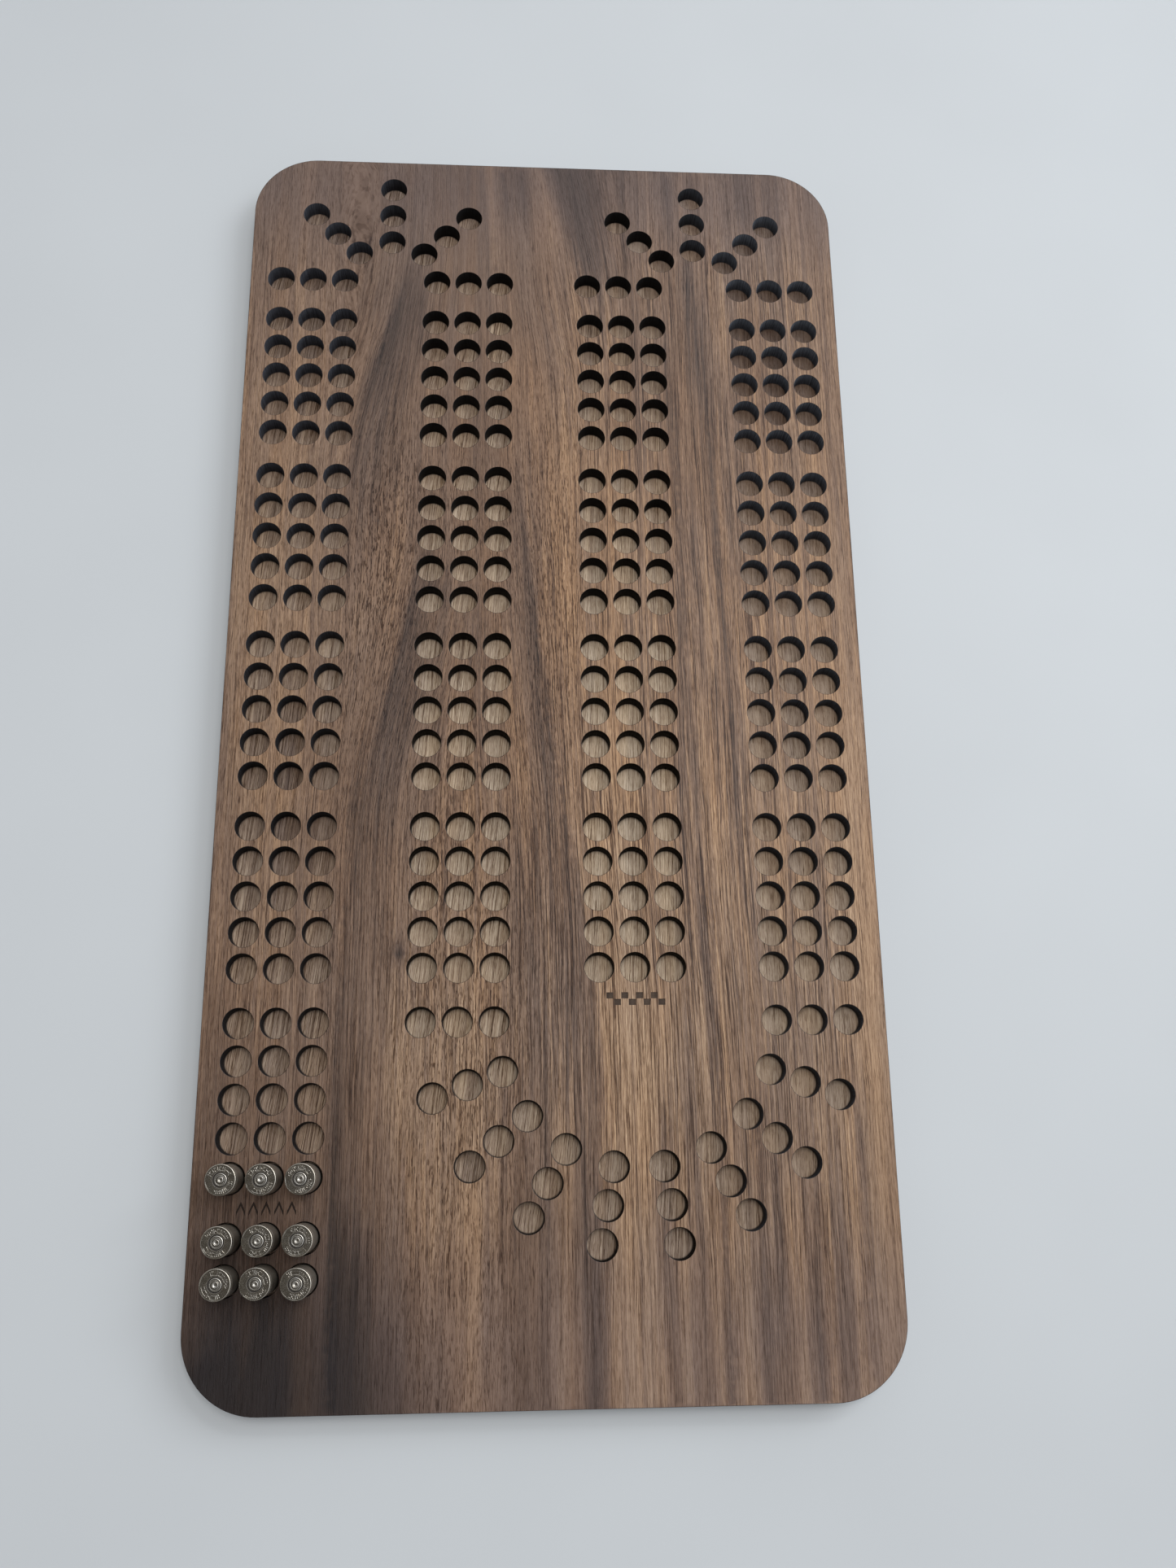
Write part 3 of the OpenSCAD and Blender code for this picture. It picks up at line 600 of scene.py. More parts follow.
def finish_mesh(mesh, body, replaced, materials, sharp_deg):
    """Makes the mesh an object of the same name that takes a CAD node's place."""
    ob = bpy.data.objects.new(mesh.name, mesh)
    bpy.context.scene.collection.objects.link(ob)
    for material in materials:
        mesh.materials.append(material)
    mesh.polygons.foreach_set("use_smooth", np.ones(len(mesh.polygons), bool))
    mesh.set_sharp_from_angle(angle=math.radians(sharp_deg))
    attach(ob, body)
    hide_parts(replaced)


def top_panel_mesh():
    sheet = Sheet()
    rims = [circle_points(cx, cy, r + EDGE, HOLE_SEGMENTS) for cx, cy, r in HOLES]
    scorched = [circle_points(cx, cy, r + EDGE + BURN, HOLE_SEGMENTS, math.pi / HOLE_SEGMENTS)
                for cx, cy, r in HOLES]
    walls = [circle_points(cx, cy, r, HOLE_SEGMENTS) for cx, cy, r in HOLES]
    grid = grid_points(0.9, 3.4, EDGE + BURN + 0.25, EDGE + BURN + 0.2,
                       [offset_polygon(mark, MARK_CLEAR) for mark in MARKS])

    def keep_top(x, y):
        kept = (hole_distance(x, y) > EDGE * 0.4) & (outline_distance(x, y) > EDGE * 0.4)
        for mark in MARKS:
            kept &= ~in_polygon(x, y, mark)
        return kept

    def keep_low(x, y):
        return (hole_distance(x, y) > 0) & (outline_distance(x, y) > 0)

    top = sheet.plane(Z_TOP, [outline_points(EDGE)] + rims + MARKS,
                      [outline_points(EDGE + BURN)] + scorched, grid, keep_top, True)
    # outside: chamfer, cut edge, chamfer to the glue line
    upper = sheet.ring(outline_points(0), Z_TOP - EDGE)
    lower = sheet.ring(outline_points(0), Z_MID + EDGE)
    sheet.bridge(upper, top[0], CUT_EDGE)
    sheet.bridge(lower, upper, CUT_EDGE)
    low = sheet.plane(Z_MID, [outline_points(EDGE)] + walls, [], [], keep_low, False)
    sheet.bridge(low[0], lower, CUT_EDGE)
    # peg holes: chamfer, then the wall down to the glue line
    for wall, rim_ids, foot_ids in zip(walls, top[1:], low[1:]):
        upper = sheet.ring(wall, Z_TOP - EDGE * 1.2)
        sheet.bridge(rim_ids, upper, HOLE_WALL)
        lower = sheet.ring(wall, Z_MID + WALL_LOOP)
        sheet.bridge(upper, lower, HOLE_WALL)
        sheet.bridge(lower, foot_ids, HOLE_WALL)
    for mark, rim_ids in zip(MARKS, top[1 + len(HOLES):]):
        floor = sheet.ring(offset_polygon(mark, -MARK_DRAFT), Z_TOP - MARK_DEPTH)
        if signed_area(mark) > 0:
            sheet.bridge(rim_ids, floor, MARK)
            sheet.face(floor, MARK)
        else:
            sheet.bridge(floor, rim_ids, MARK)
            sheet.face(floor[::-1], MARK)
    return sheet.mesh("walnut_top_panel")


def backer_panel_mesh():
    sheet = Sheet()
    top_grid = grid_points(1.6, 6.0, EDGE + BURN + 0.5)
    distances = hole_distance(*np.array(top_grid).T)
    top_grid = [p for p, d in zip(top_grid, distances) if not -SHADE_RING - 0.4 < d < 0.4]
    low_grid = grid_points(2.4, 9.0, EDGE + BURN + 0.5)
    rings = [outline_points(EDGE + BURN)]
    # two circles round each hole bound the ring of painted shade on its floor
    for cx, cy, r in HOLES:
        rings.append(circle_points(cx, cy, r - 0.02, RING_SEGMENTS))
        rings.append(circle_points(cx, cy, r - SHADE_RING, RING_SEGMENTS, math.pi / RING_SEGMENTS))

    def keep(x, y):
        return outline_distance(x, y) > 0

    top = sheet.plane(Z_MID, [outline_points(EDGE)], rings, top_grid, keep, True)[0]
    upper = sheet.ring(outline_points(0), Z_MID - EDGE)
    lower = sheet.ring(outline_points(0), Z_LOW + 2 * EDGE)
    low = sheet.plane(Z_LOW, [outline_points(2 * EDGE)], [outline_points(2 * EDGE + BURN)],
                      low_grid, keep, False)[0]
    sheet.bridge(upper, top, CUT_EDGE)
    sheet.bridge(lower, upper, CUT_EDGE)
    sheet.bridge(low, lower, CUT_EDGE)
    return sheet.mesh("walnut_backer_panel")


def add_top_panel(materials):
    mesh = top_panel_mesh()
    x, y, _ = mesh_points(mesh)
    tone = stroke_sum(x, y) + bump_sum(x, y, SPOTS) + bump_sum(x, y, AREAS)
    float_attribute(mesh, "tone", tone)
    float_attribute(mesh, "grain", top_grain(x, y))
    float_attribute(mesh, "stripe", top_stripe(x, y))
    float_attribute(mesh, "pore", np.clip(0.30 + bump_sum(x, y, PORE_AREAS), 0, 1.2))
    distance = np.minimum(hole_distance(x, y), outline_distance(x, y))
    float_attribute(mesh, "burn_and_shade", np.clip(1 - (distance - EDGE) / BURN, 0, 1) ** 1.5 * 0.9)
    finish_mesh(mesh, "board", "top_panel", materials, 40)


def add_backer_panel(materials):
    mesh = backer_panel_mesh()
    x, y, z = mesh_points(mesh)
    float_attribute(mesh, "tone", bump_sum(x, y, BACKER_AREAS))
    float_attribute(mesh, "grain", backer_grain(x, y))
    float_attribute(mesh, "stripe", 0.95 - 0.45 * rise(x, 62, 5.0))
    float_attribute(mesh, "pore", np.full(len(x), 0.45))
    # painted shade on the floor under each hole's wall, on the upper face only, and laser scorch
    # along the board's edge
    distance = hole_distance(x, y)
    inside = np.clip((distance + SHADE_RING) / SHADE_RING, 0, 1) ** 0.7
    outside = np.clip(1 - distance / 0.5, 0, 1)
    floor_shade = np.where(z > Z_MID - 0.5, np.where(distance < 0, inside, outside) * 0.97, 0.0)
    edge_burn = np.clip(1 - (outline_distance(x, y) - EDGE) / BURN, 0, 1) * 0.85
    float_attribute(mesh, "burn_and_shade", np.maximum(floor_shade, edge_burn))
    finish_mesh(mesh, "board", "backer_panel", materials, 40)


# =============================================================================
# Shader graph helpers
# =============================================================================
class Value:
    """One output of a node; + and * make Math nodes."""

    def __init__(self, graph, node, output):
        self.graph, self.node, self.output = graph, node, output

    def __add__(self, other):
        return self.graph.math("ADD", self, other)

    def __radd__(self, other):
        return self.graph.math("ADD", other, self)

    def __mul__(self, other):
        return self.graph.math("MULTIPLY", self, other)


class Graph:
    """Builds the node tree of a material or world from scratch."""

    def __init__(self, owner):
        self.owner = owner
        owner.use_nodes = True
        self.tree = owner.node_tree
        self.tree.nodes.clear()

    def node(self, kind, inputs, output=0, **settings):
        node = self.tree.nodes.new("ShaderNode" + kind)
        for key, value in settings.items():
            setattr(node, key, value)
        for key, value in inputs.items():
            if isinstance(value, Value):
                self.tree.links.new(value.node.outputs[value.output], node.inputs[key])
            else:
                node.inputs[key].default_value = value
        return Value(self, node, output)

    def math(self, operation, *operands):
        return self.node("Math", dict(enumerate(operands)), operation=operation)

    def attribute(self, name):
        return self.node("Attribute", {}, "Fac", attribute_name=name)

    def position(self):
        """Object x, y and z in mm."""
        metres = self.node("TexCoord", {}, "Object")
        scaled = self.node("VectorMath", {0: metres, "Scale": 1000.0}, operation="SCALE")
        split = self.node("SeparateXYZ", {0: scaled})
        return [Value(self, split.node, axis) for axis in range(3)]

    def noise(self, x, y, z, detail, roughness=0.5):
        vector = self.node("CombineXYZ", {0: x, 1: y, 2: z})
        return self.node("TexNoise", {"Vector": vector, "Scale": 1.0, "Detail": detail,
                                      "Roughness": roughness})

    def centred(self, noise, gain):
        return (noise + -0.5) * gain

    def remap(self, value, low, high, to_low=0.0, to_high=1.0, interpolation="LINEAR"):
        inputs = {"Value": value, "From Min": low, "From Max": high,
                  "To Min": to_low, "To Max": to_high}
        return self.node("MapRange", inputs, interpolation_type=interpolation)

    def fade(self, value, low, high, to_low=0.0, to_high=1.0):
        return self.remap(value, low, high, to_low, to_high, "SMOOTHSTEP")

    def ramp(self, value, stops):
        """Colour ramp; the first stop is at 0 and the last at 1."""
        ramp = self.node("ValToRGB", {0: value})
        elements = ramp.node.color_ramp.elements
        for position, _ in stops[1:-1]:
            elements.new(position)
        for element, (_, colour) in zip(elements, stops):
            element.color = colour
        return ramp

    def mix(self, factor, a, b, blend="MIX"):
        return self.node("Mix", {0: factor, 6: a, 7: b}, 2, data_type="RGBA", blend_type=blend)

    def multiply(self, colour, tint):
        return self.mix(1.0, colour, tint, "MULTIPLY")

    def surface(self, inputs, height=None, strength=0.0, distance=0.0):
        """Ends the material with a Principled shader, bumped (mm) if a height is given."""
        if height is not None:
            inputs["Normal"] = self.node("Bump", {"Strength": strength,
                                                  "Distance": distance * MM, "Height": height})
        self.node("OutputMaterial", {0: self.node("BsdfPrincipled", inputs)})
        return self.owner


def new_graph(name):
    return Graph(bpy.data.materials.new(name))


def grey(level):
    return (level, level, level, 1)


def linear(rgb):
    """sRGB 0-255 to scene-linear RGBA."""
    levels = [c / 255.0 for c in rgb]
    return tuple(c / 12.92 if c <= 0.04045 else ((c + 0.055) / 1.055) ** 2.4
                 for c in levels) + (1.0,)


# =============================================================================
# Materials
# =============================================================================
def walnut(name, palette, pore_gain, roughness, seed, shift, warmth):
    """Planed and oiled walnut, drawn by the mesh's attributes for tone, grain, stripe, pore, and
    laser scorch with painted shade.
    """
    g = new_graph(name)
    x, y, _ = g.position()
    grain, tone, burn_and_shade = g.attribute("grain"), g.attribute("tone"), g.attribute("burn_and_shade")
    pore, stripe = g.attribute("pore"), g.attribute("stripe")
    wave = g.noise(grain * 0.45, y * 0.045, seed + 30.5, 1.0)
    u = grain + g.centred(wave, 1.3)

    # across and along: noise frequency over and with the grain; layer: its own slice
    def grain_noise(across, along, layer, detail, roughness=0.5):
        return g.noise(u * across, y * along, seed + layer, detail, roughness)

    def band(across, along, layer, detail, roughness=0.55):
        return g.centred(grain_noise(across, along, layer, detail, roughness), 4.0)

    broad = band(across=0.14, along=0.006, layer=1.3, detail=2.0)
    streak = band(across=0.55, along=0.010, layer=4.1, detail=2.0)
    line = band(across=1.65, along=0.020, layer=7.7, detail=2.0, roughness=0.6)
    thin = band(across=4.4, along=0.080, layer=8.4, detail=1.0)
    fibre = band(across=9.0, along=0.30, layer=9.2, detail=1.0)
    line_edge = g.fade(grain_noise(2.1, 0.020, 27.7, 0.0), 0.43, 0.57, -1.0, 1.0)
    hair = g.fade(grain_noise(3.1, 0.030, 28.4, 0.0), 0.56, 0.66)
    cloud = g.centred(g.noise(x * 0.03, y * 0.018, seed + 2.9, 2.0), 4.0)
    short_dash = g.fade(grain_noise(4.6, 0.36, 12.5, 1.0), 0.52, 0.62)
    long_dash = g.fade(grain_noise(4.2, 0.16, 15.5, 1.0), 0.53, 0.64)

    for layer, amount in ((broad, 0.12), (cloud, 0.08)):
        tone = tone + layer * amount
    for layer, amount in ((streak, 0.26), (line, 0.29), (line_edge, 0.07)):
        tone = tone + layer * stripe * amount
    first, last = TONES[0], TONES[-1]
    stops = [((t - first) / (last - first), linear(rgb)) for t, rgb in zip(TONES, palette)]
    colour = g.ramp(g.remap(tone + shift, first, last), stops)

    # fine lines and open pores darken towards warm brown
    dark = (thin * 0.40 + fibre * 0.30 + hair * 0.62) * stripe
    dark = dark + short_dash * pore * (0.92 * pore_gain)
    dark = dark + long_dash * (pore * 0.5 + 0.35) * (0.66 * pore_gain)
    light = g.remap(dark, -0.55, 1.15, 1.42, 0.20)
    powers = (1.0, 1.16, 1.30)  # red, green, blue
    tint = {i: g.math("POWER", light, power) for i, power in enumerate(powers)}
    colour = g.multiply(colour, g.node("CombineColor", tint))

    # warmer in drifting bands and, by warmth, in the middle of the board
    hue = grain_noise(0.10, 0.012, 21.0, 1.0)
    glow = g.fade(y, -120.0, 20.0) * g.fade(y, 120.0, 200.0, 1.0, 0.0)
    glow = glow * g.fade(x, -60.0, -15.0, 0.25, 1.0)
    warm = g.math("MINIMUM", g.fade(hue, 0.35, 0.68, 0.0, 0.5) + glow * warmth, 1.0)
    colour = g.mix(warm, colour, g.multiply(colour, (1.10, 0.99, 0.84, 1)))
    # cooler towards both ends: a painted bluish sheen
    ends = g.fade(g.math("ABSOLUTE", y + -4.0), 176.0, 226.0)
    colour = g.mix(ends, colour, g.multiply(colour, (0.97, 1.0, 1.09, 1)))
    # laser scorch, and painted shade at the foot of each hole wall, darken to near black
    colour = g.mix(g.remap(burn_and_shade, 0.0, 1.0, 0.0, 0.93), colour, (0.012, 0.010, 0.010, 1))
    return g.surface(
        {"Base Color": colour, "Specular IOR Level": 0.36,
         "Roughness": roughness + fibre * 0.04 + short_dash * pore * 0.22},
        height=fibre * -0.10 + short_dash * pore * -1.0 + line * -0.08,
        strength=0.5, distance=0.10)


def charred(name, tint, sheen, glow, painted_sheen_and_shade=False):
    """Laser-cut wall: sooty black with fine upright striations and a dull sheen.

    With the last flag the walls get painted light: greyer and bluer far out in X and towards the
    far end, as a painted reflection, and darker towards the start end, as painted shade.
    """
    g = new_graph(name)
    x, y, z = g.position()
    striation = g.noise(x * 2.6, y * 2.6, z * 0.10, 3.0, 0.6)
    patch = g.noise(x * 0.35, y * 0.35, z * 0.25, 2.0)
    level = g.remap(striation, 0.30, 0.72) * g.remap(patch, 0.25, 0.8, 0.5, 1.0)
    shade = g.ramp(level, [(0.0, (0.35, 0.35, 0.36, 1)), (0.55, grey(1)), (1.0, grey(glow))])
    base = tint + (1,)
    if painted_sheen_and_shade:
        # painted reflection: bluish grey far out in X and at the far end; painted shade: darker
        # towards the start end
        far = g.fade(y, -70.0, 165.0)
        outer = g.fade(g.math("ABSOLUTE", x), 48.0, 78.0)
        near_tint, far_tint = (tuple(c * k for c in tint) + (1,) for k in (0.35, 3.6))
        inner_colour = g.mix(far, near_tint, far_tint)
        left = g.mix(far, (0.0165, 0.0160, 0.0172, 1), (0.066, 0.069, 0.082, 1))
        right = g.mix(far, (0.042, 0.045, 0.053, 1), (0.114, 0.124, 0.146, 1))
        base = g.mix(outer, inner_colour, g.mix(g.remap(x, -20.0, 20.0), left, right))
    return g.surface(
        {"Base Color": g.multiply(base, shade), "Specular IOR Level": sheen,
         "Roughness": g.remap(striation, 0.3, 0.7, 0.45, 0.68)},
        height=striation, strength=0.5, distance=0.10)


def engraved(name):
    """Burnt-in marks: dark brown with scan lines, darker on the left of the board."""
    g = new_graph(name)
    x, y, z = g.position()
    scan = g.noise(x * 0.9, y * 6.0, z, 2.0, 0.6)
    patch = g.noise(x * 0.5, y * 0.08, 3.0, 2.0)
    level = g.remap(scan * 0.5 + patch * 0.5, 0.3, 0.7)
    brown = g.ramp(level, [(0.0, (0.038, 0.026, 0.020, 1)), (0.5, (0.062, 0.043, 0.032, 1)),
                           (1.0, (0.10, 0.072, 0.054, 1))])
    colour = g.mix(g.remap(x, -40.0, -20.0), (0.027, 0.0195, 0.0155, 1), brown)
    return g.surface({"Base Color": colour, "Roughness": 0.7, "Specular IOR Level": 0.2},
                     height=scan, strength=0.6, distance=0.08)


def nickel(name, base, roughness, seed, soot_and_shade_gain=1.0):
    """Worn nickel plating with handling marks, darkened to a sooty brown by the mesh's darkening
    attribute: firing residue inside the case and at its mouth, painted shade in stamps, creases and
    the groove, and a painted dark reflection on the case sides.
    """
    g = new_graph(name)
    x, y, z = g.position()
    soot_and_shade = g.attribute("soot_and_shade")
    cloud = g.noise(x * 0.55, y * 0.55, z * 0.4 + seed, 3.0, 0.6)
    speck = g.noise(x * 5.0, y * 5.0, z * 5.0 + seed, 3.0, 0.65)
    # scratches in two slanting directions
    scratch1 = g.noise((x + y * 0.6) * 9.0, (y + x * -0.6) * 0.7, z + seed, 2.0, 0.6)
    scratch2 = g.noise((x + y * -1.4) * 1.0, (y + x * 1.4) * 7.0, z + (seed + 4), 2.0, 0.6)
    tarnish = g.fade(cloud, 0.38, 0.70, 0.0, 0.5)
    tarnished = tuple(c * k for c, k in zip(base, (0.72, 0.66, 0.56))) + (1,)
    metal = g.mix(tarnish, base + (1,), tarnished)
    # darkening from the mesh: residue, painted shade in recesses and a painted dark reflection on
    # the case sides; specks on top
    darkness = g.math("MINIMUM", soot_and_shade * (0.75 + speck * 0.6), 1.0)
    darkness = g.math("MAXIMUM", darkness * soot_and_shade_gain, g.fade(speck, 0.66, 0.80, 0.0, 0.45))
    rough = roughness + g.centred(speck, 0.30) + tarnish * 0.16 + darkness * 0.35
    return g.surface(
        # dark brown for residue and for painted shade
        {"Base Color": g.mix(darkness, metal, (0.030, 0.024, 0.020, 1)),
         "Metallic": g.remap(darkness, 0.0, 1.0, 1.0, 0.35),
         "Roughness": g.math("MAXIMUM", rough, 0.12)},
        height=scratch1 * 0.5 + scratch2 * 0.5 + speck * 0.5, strength=0.35, distance=0.05)


def sooty_brass(name):
    g = new_graph(name)
    x, y, z = g.position()
    darkness = g.noise(x * 2.2, y * 2.2, z * 2.2, 3.0, 0.6)
    colour = g.ramp(g.remap(darkness, 0.35, 0.65), [
        (0.0, (0.42, 0.27, 0.10, 1)), (0.6, (0.25, 0.17, 0.09, 1)), (1.0, (0.05, 0.04, 0.035, 1))])
    return g.surface(
        {"Base Color": colour, "Metallic": g.remap(darkness, 0.35, 0.7, 0.95, 0.5),
         "Roughness": g.remap(darkness, 0.3, 0.7, 0.30, 0.6)},
        height=darkness, strength=0.3, distance=0.05)


def table_top(name, rgb):
    g = new_graph(name)
    x, y, _ = g.position()
    patch = g.noise(x * 0.01, y * 0.01, 0.0, 2.0)
    light = linear(rgb)
    darker = tuple(c * 0.97 for c in light[:3]) + (1,)
    return g.surface({"Base Color": g.mix(g.remap(patch, 0.3, 0.7), light, darker),
                      "Roughness": 0.55, "Specular IOR Level": 0.25})


# =============================================================================
# Pegs: spent cases and their primers
# =============================================================================
CASE_SEGMENTS, PRIMER_SEGMENTS = 336, 160
GROOVE_R, MOUTH_R, POCKET_R = 4.4, 4.83, 2.225
CASE_WALL = 0.3
RIM_ROUND = 0.30            # rounding of the case rim
BODY_START = 3.14           # depth below the head where the tapering body starts
BODY_END = 0.16             # its distance above the mouth
BODY_STEPS = 14
PRIMER_R, PRIMER_ROUND, PRIMER_WALL = 2.215, 0.42, 0.32
PRIMER_SINK = 0.1           # primer face below the case head
STAMP_HALF_W, DOT_HALF_W = 0.105, 0.20


def ring_angles(segments):
    return 2 * np.pi * np.arange(segments) / segments


def stamp_strokes(seed):
    """Tick marks round the case head: (r0, a0, r1, a1, half width), mm and radians."""
    rng = np.random.RandomState(seed)
    strokes = []
    for centre, span, count in ((90, 124, 15), (270, 104, 13)):
        centre += rng.uniform(-40, 40)
        for i in range(count):
            a = math.radians(centre + span * (i / (count - 1) - 0.5))
            kind = rng.choice([0, 0, 0, 1, 1, 2, 2, 3])
            if kind == 0:    # full bar
                ticks = [(3.05, a, 4.18, a)]
            elif kind == 1:  # broken bar
                ticks = [(3.05, a, 3.50, a), (3.92, a, 4.16, a)]
            elif kind == 2:  # two crosswise bars
                ticks = [(3.08, a - 0.08, 3.08, a + 0.08), (4.12, a - 0.06, 4.12, a + 0.06)]
            else:            # dot
                ticks = [(3.60, a, 3.62, a)]
            width = DOT_HALF_W if kind == 3 else STAMP_HALF_W
            strokes += [tick + (width,) for tick in ticks]
    return strokes


def stamp_depth(radius, angles, strokes):
    """Depth 0 to 1 of the stamped strokes along one ring."""
    x, y = radius * np.cos(angles), radius * np.sin(angles)
    depth = np.zeros_like(x)
    for r0, a0, r1, a1, half_width in strokes:
        start = np.array([r0 * math.cos(a0), r0 * math.sin(a0)])
        span = np.array([r1 * math.cos(a1), r1 * math.sin(a1)]) - start
        along = ((x - start[0]) * span[0] + (y - start[1]) * span[1]) / max(span @ span, 1e-9)
        along = np.clip(along, 0, 1)
        gap = np.hypot(x - start[0] - along * span[0], y - start[1] - along * span[1])
        depth = np.maximum(depth, smoothstep(np.clip(1.35 - gap / half_width, 0, 1)))
    return depth


def turned_mesh(name, rings, segments, centre, closed):
    """Lathed mesh with a darkening attribute, residue and painted shade, from rings of (radius, z,
    z offsets, darkening).

    Closed joins the last ring to the first; otherwise both get a flat cap.
    """
    angles = ring_angles(segments)
    vertices, soot_and_shade = [], []
    for radius, z, dz, darkness in rings:
        vertices.append(np.c_[radius * np.cos(angles), radius * np.sin(angles),
                              z + dz + np.zeros(segments)])
        soot_and_shade.append(np.broadcast_to(darkness, (segments,)).astype(float))
    vertices = np.concatenate(vertices) + np.array([*centre, 0.0])
    faces = []
    for k in range(len(rings) if closed else len(rings) - 1):
        a, b = k * segments, (k + 1) % len(rings) * segments
        for i in range(segments):
            j = (i + 1) % segments
            faces.append((a + i, b + i, b + j, a + j))
    if not closed:
        last = (len(rings) - 1) * segments
        faces.append(tuple(range(segments)))
        faces.append(tuple(reversed(range(last, last + segments))))
    mesh = bpy.data.meshes.new(name)
    mesh.from_pydata([tuple(p) for p in vertices * MM], [], faces)
    mesh.update()
    float_attribute(mesh, "soot_and_shade", np.concatenate(soot_and_shade))
    return mesh


def add_case(peg, seed, material):
    node = peg + "_case"
    low, high = box_mm(node)
    head, length = high.z, high.z - low.z
    rim_r = (high.x - low.x) / 2
    body_r = rim_r - 0.02
    bore_r = MOUTH_R - CASE_WALL
    angles = ring_angles(CASE_SEGMENTS)
    strokes = stamp_strokes(seed)
    phase = np.random.RandomState(seed).uniform(0, 6.28, 4)
    rings = []

    def add_rings(*profile):
        """Plain rings of (radius, depth below the head, darkening)."""
        rings.extend((radius, head - depth, 0.0, darkness) for radius, depth, darkness in profile)

    # pocket wall from the floor up, then its crimped mouth
    add_rings((1.0, 4.1, 0.9), (1.0, 2.95, 0.9), (POCKET_R, 2.95, 0.9), (POCKET_R, 0.26, 1.0),
              (POCKET_R + 0.02, 0.19, 1.0), (POCKET_R + 0.08, 0.12, 1.0),
              (POCKET_R + 0.15, 0.07, 1.0), (POCKET_R + 0.20, 0.045, 0.95))
    # head: a faint turned ring, then stamped strokes
    for r in np.concatenate([np.linspace(POCKET_R + 0.28, 2.85, 6), np.linspace(2.92, 4.32, 34),
                             np.linspace(4.42, rim_r - 0.34, 4)]):
        stamp = stamp_depth(r, angles, strokes)
        turned = 0.02 * math.exp(-((r - 2.62) / 0.07) ** 2)
        wear = (0.012 * np.sin(3 * angles + phase[0]) * (r / rim_r)
                + 0.008 * np.sin(7 * angles + phase[1]))
        dip = 0.018 + turned + 0.14 * stamp + np.maximum(wear, -0.015)
        # painted shade: the stamped strokes and the crease by the primer pocket are darkened
        darkness = np.clip(0.96 * stamp + 0.7 * math.exp(-((r - 2.48) / 0.07) ** 2), 0, 1)
        rings.append((r, head, -dip, darkness))
    # rounded rim with one nick
    nick = 0.03 * np.exp(-((np.mod(angles - phase[2], 2 * np.pi) - 3.1) / 0.12) ** 2)
    for k in range(9):
        t = math.radians(90 * k / 8)
        rings.append((rim_r - RIM_ROUND + RIM_ROUND * math.sin(t),
                      head - (0.004 + RIM_ROUND * (1 - math.cos(t))), -nick, 0.05))
    # rim side, groove and shoulder, painted darker: shade in the groove and a dark reflection on
    # the sides
    add_rings((rim_r, 0.75, 0.2), (rim_r, 1.14, 0.25), (rim_r - 0.03, 1.24, 0.3),
              (rim_r - 0.09, 1.31, 0.4), (GROOVE_R + 0.14, 1.40, 0.8), (GROOVE_R, 1.50, 1.0),
              (GROOVE_R, 2.02, 0.9), (GROOVE_R + 0.05, 2.12, 0.7), (body_r - 0.10, 2.90, 0.55),
              (body_r - 0.02, 3.02, 0.50), (body_r, BODY_START, 0.48))
    # the painted dark reflection deepens down the body
    for k in range(1, BODY_STEPS):
        depth = BODY_START + (length - BODY_END - BODY_START) * k / BODY_STEPS
        taper = (MOUTH_R - body_r) * (depth - 3.05) / (length - 3.17)
        add_rings((body_r + taper, depth, 0.48 + 0.24 * k / BODY_STEPS))
    # mouth, then the bore up to the web
    add_rings((MOUTH_R, length - BODY_END, 0.5), (MOUTH_R - 0.02, length - 0.05, 0.4),
              (MOUTH_R - 0.07, length, 0.5), (bore_r + 0.05, length, 0.7),
              (bore_r, length - 0.1, 0.9), (bore_r - 0.05, 12.5, 1.0), (bore_r - 0.45, 7.2, 1.0),
              (bore_r - 0.9, 5.2, 1.0), (bore_r - 1.6, 4.35, 1.0), (bore_r - 2.3, 4.1, 1.0))
    centre = ((low.x + high.x) / 2, (low.y + high.y) / 2)
    mesh = turned_mesh(peg + "_nickel_case", rings, CASE_SEGMENTS, centre, closed=True)
    finish_mesh(mesh, peg, node, [material], 50)


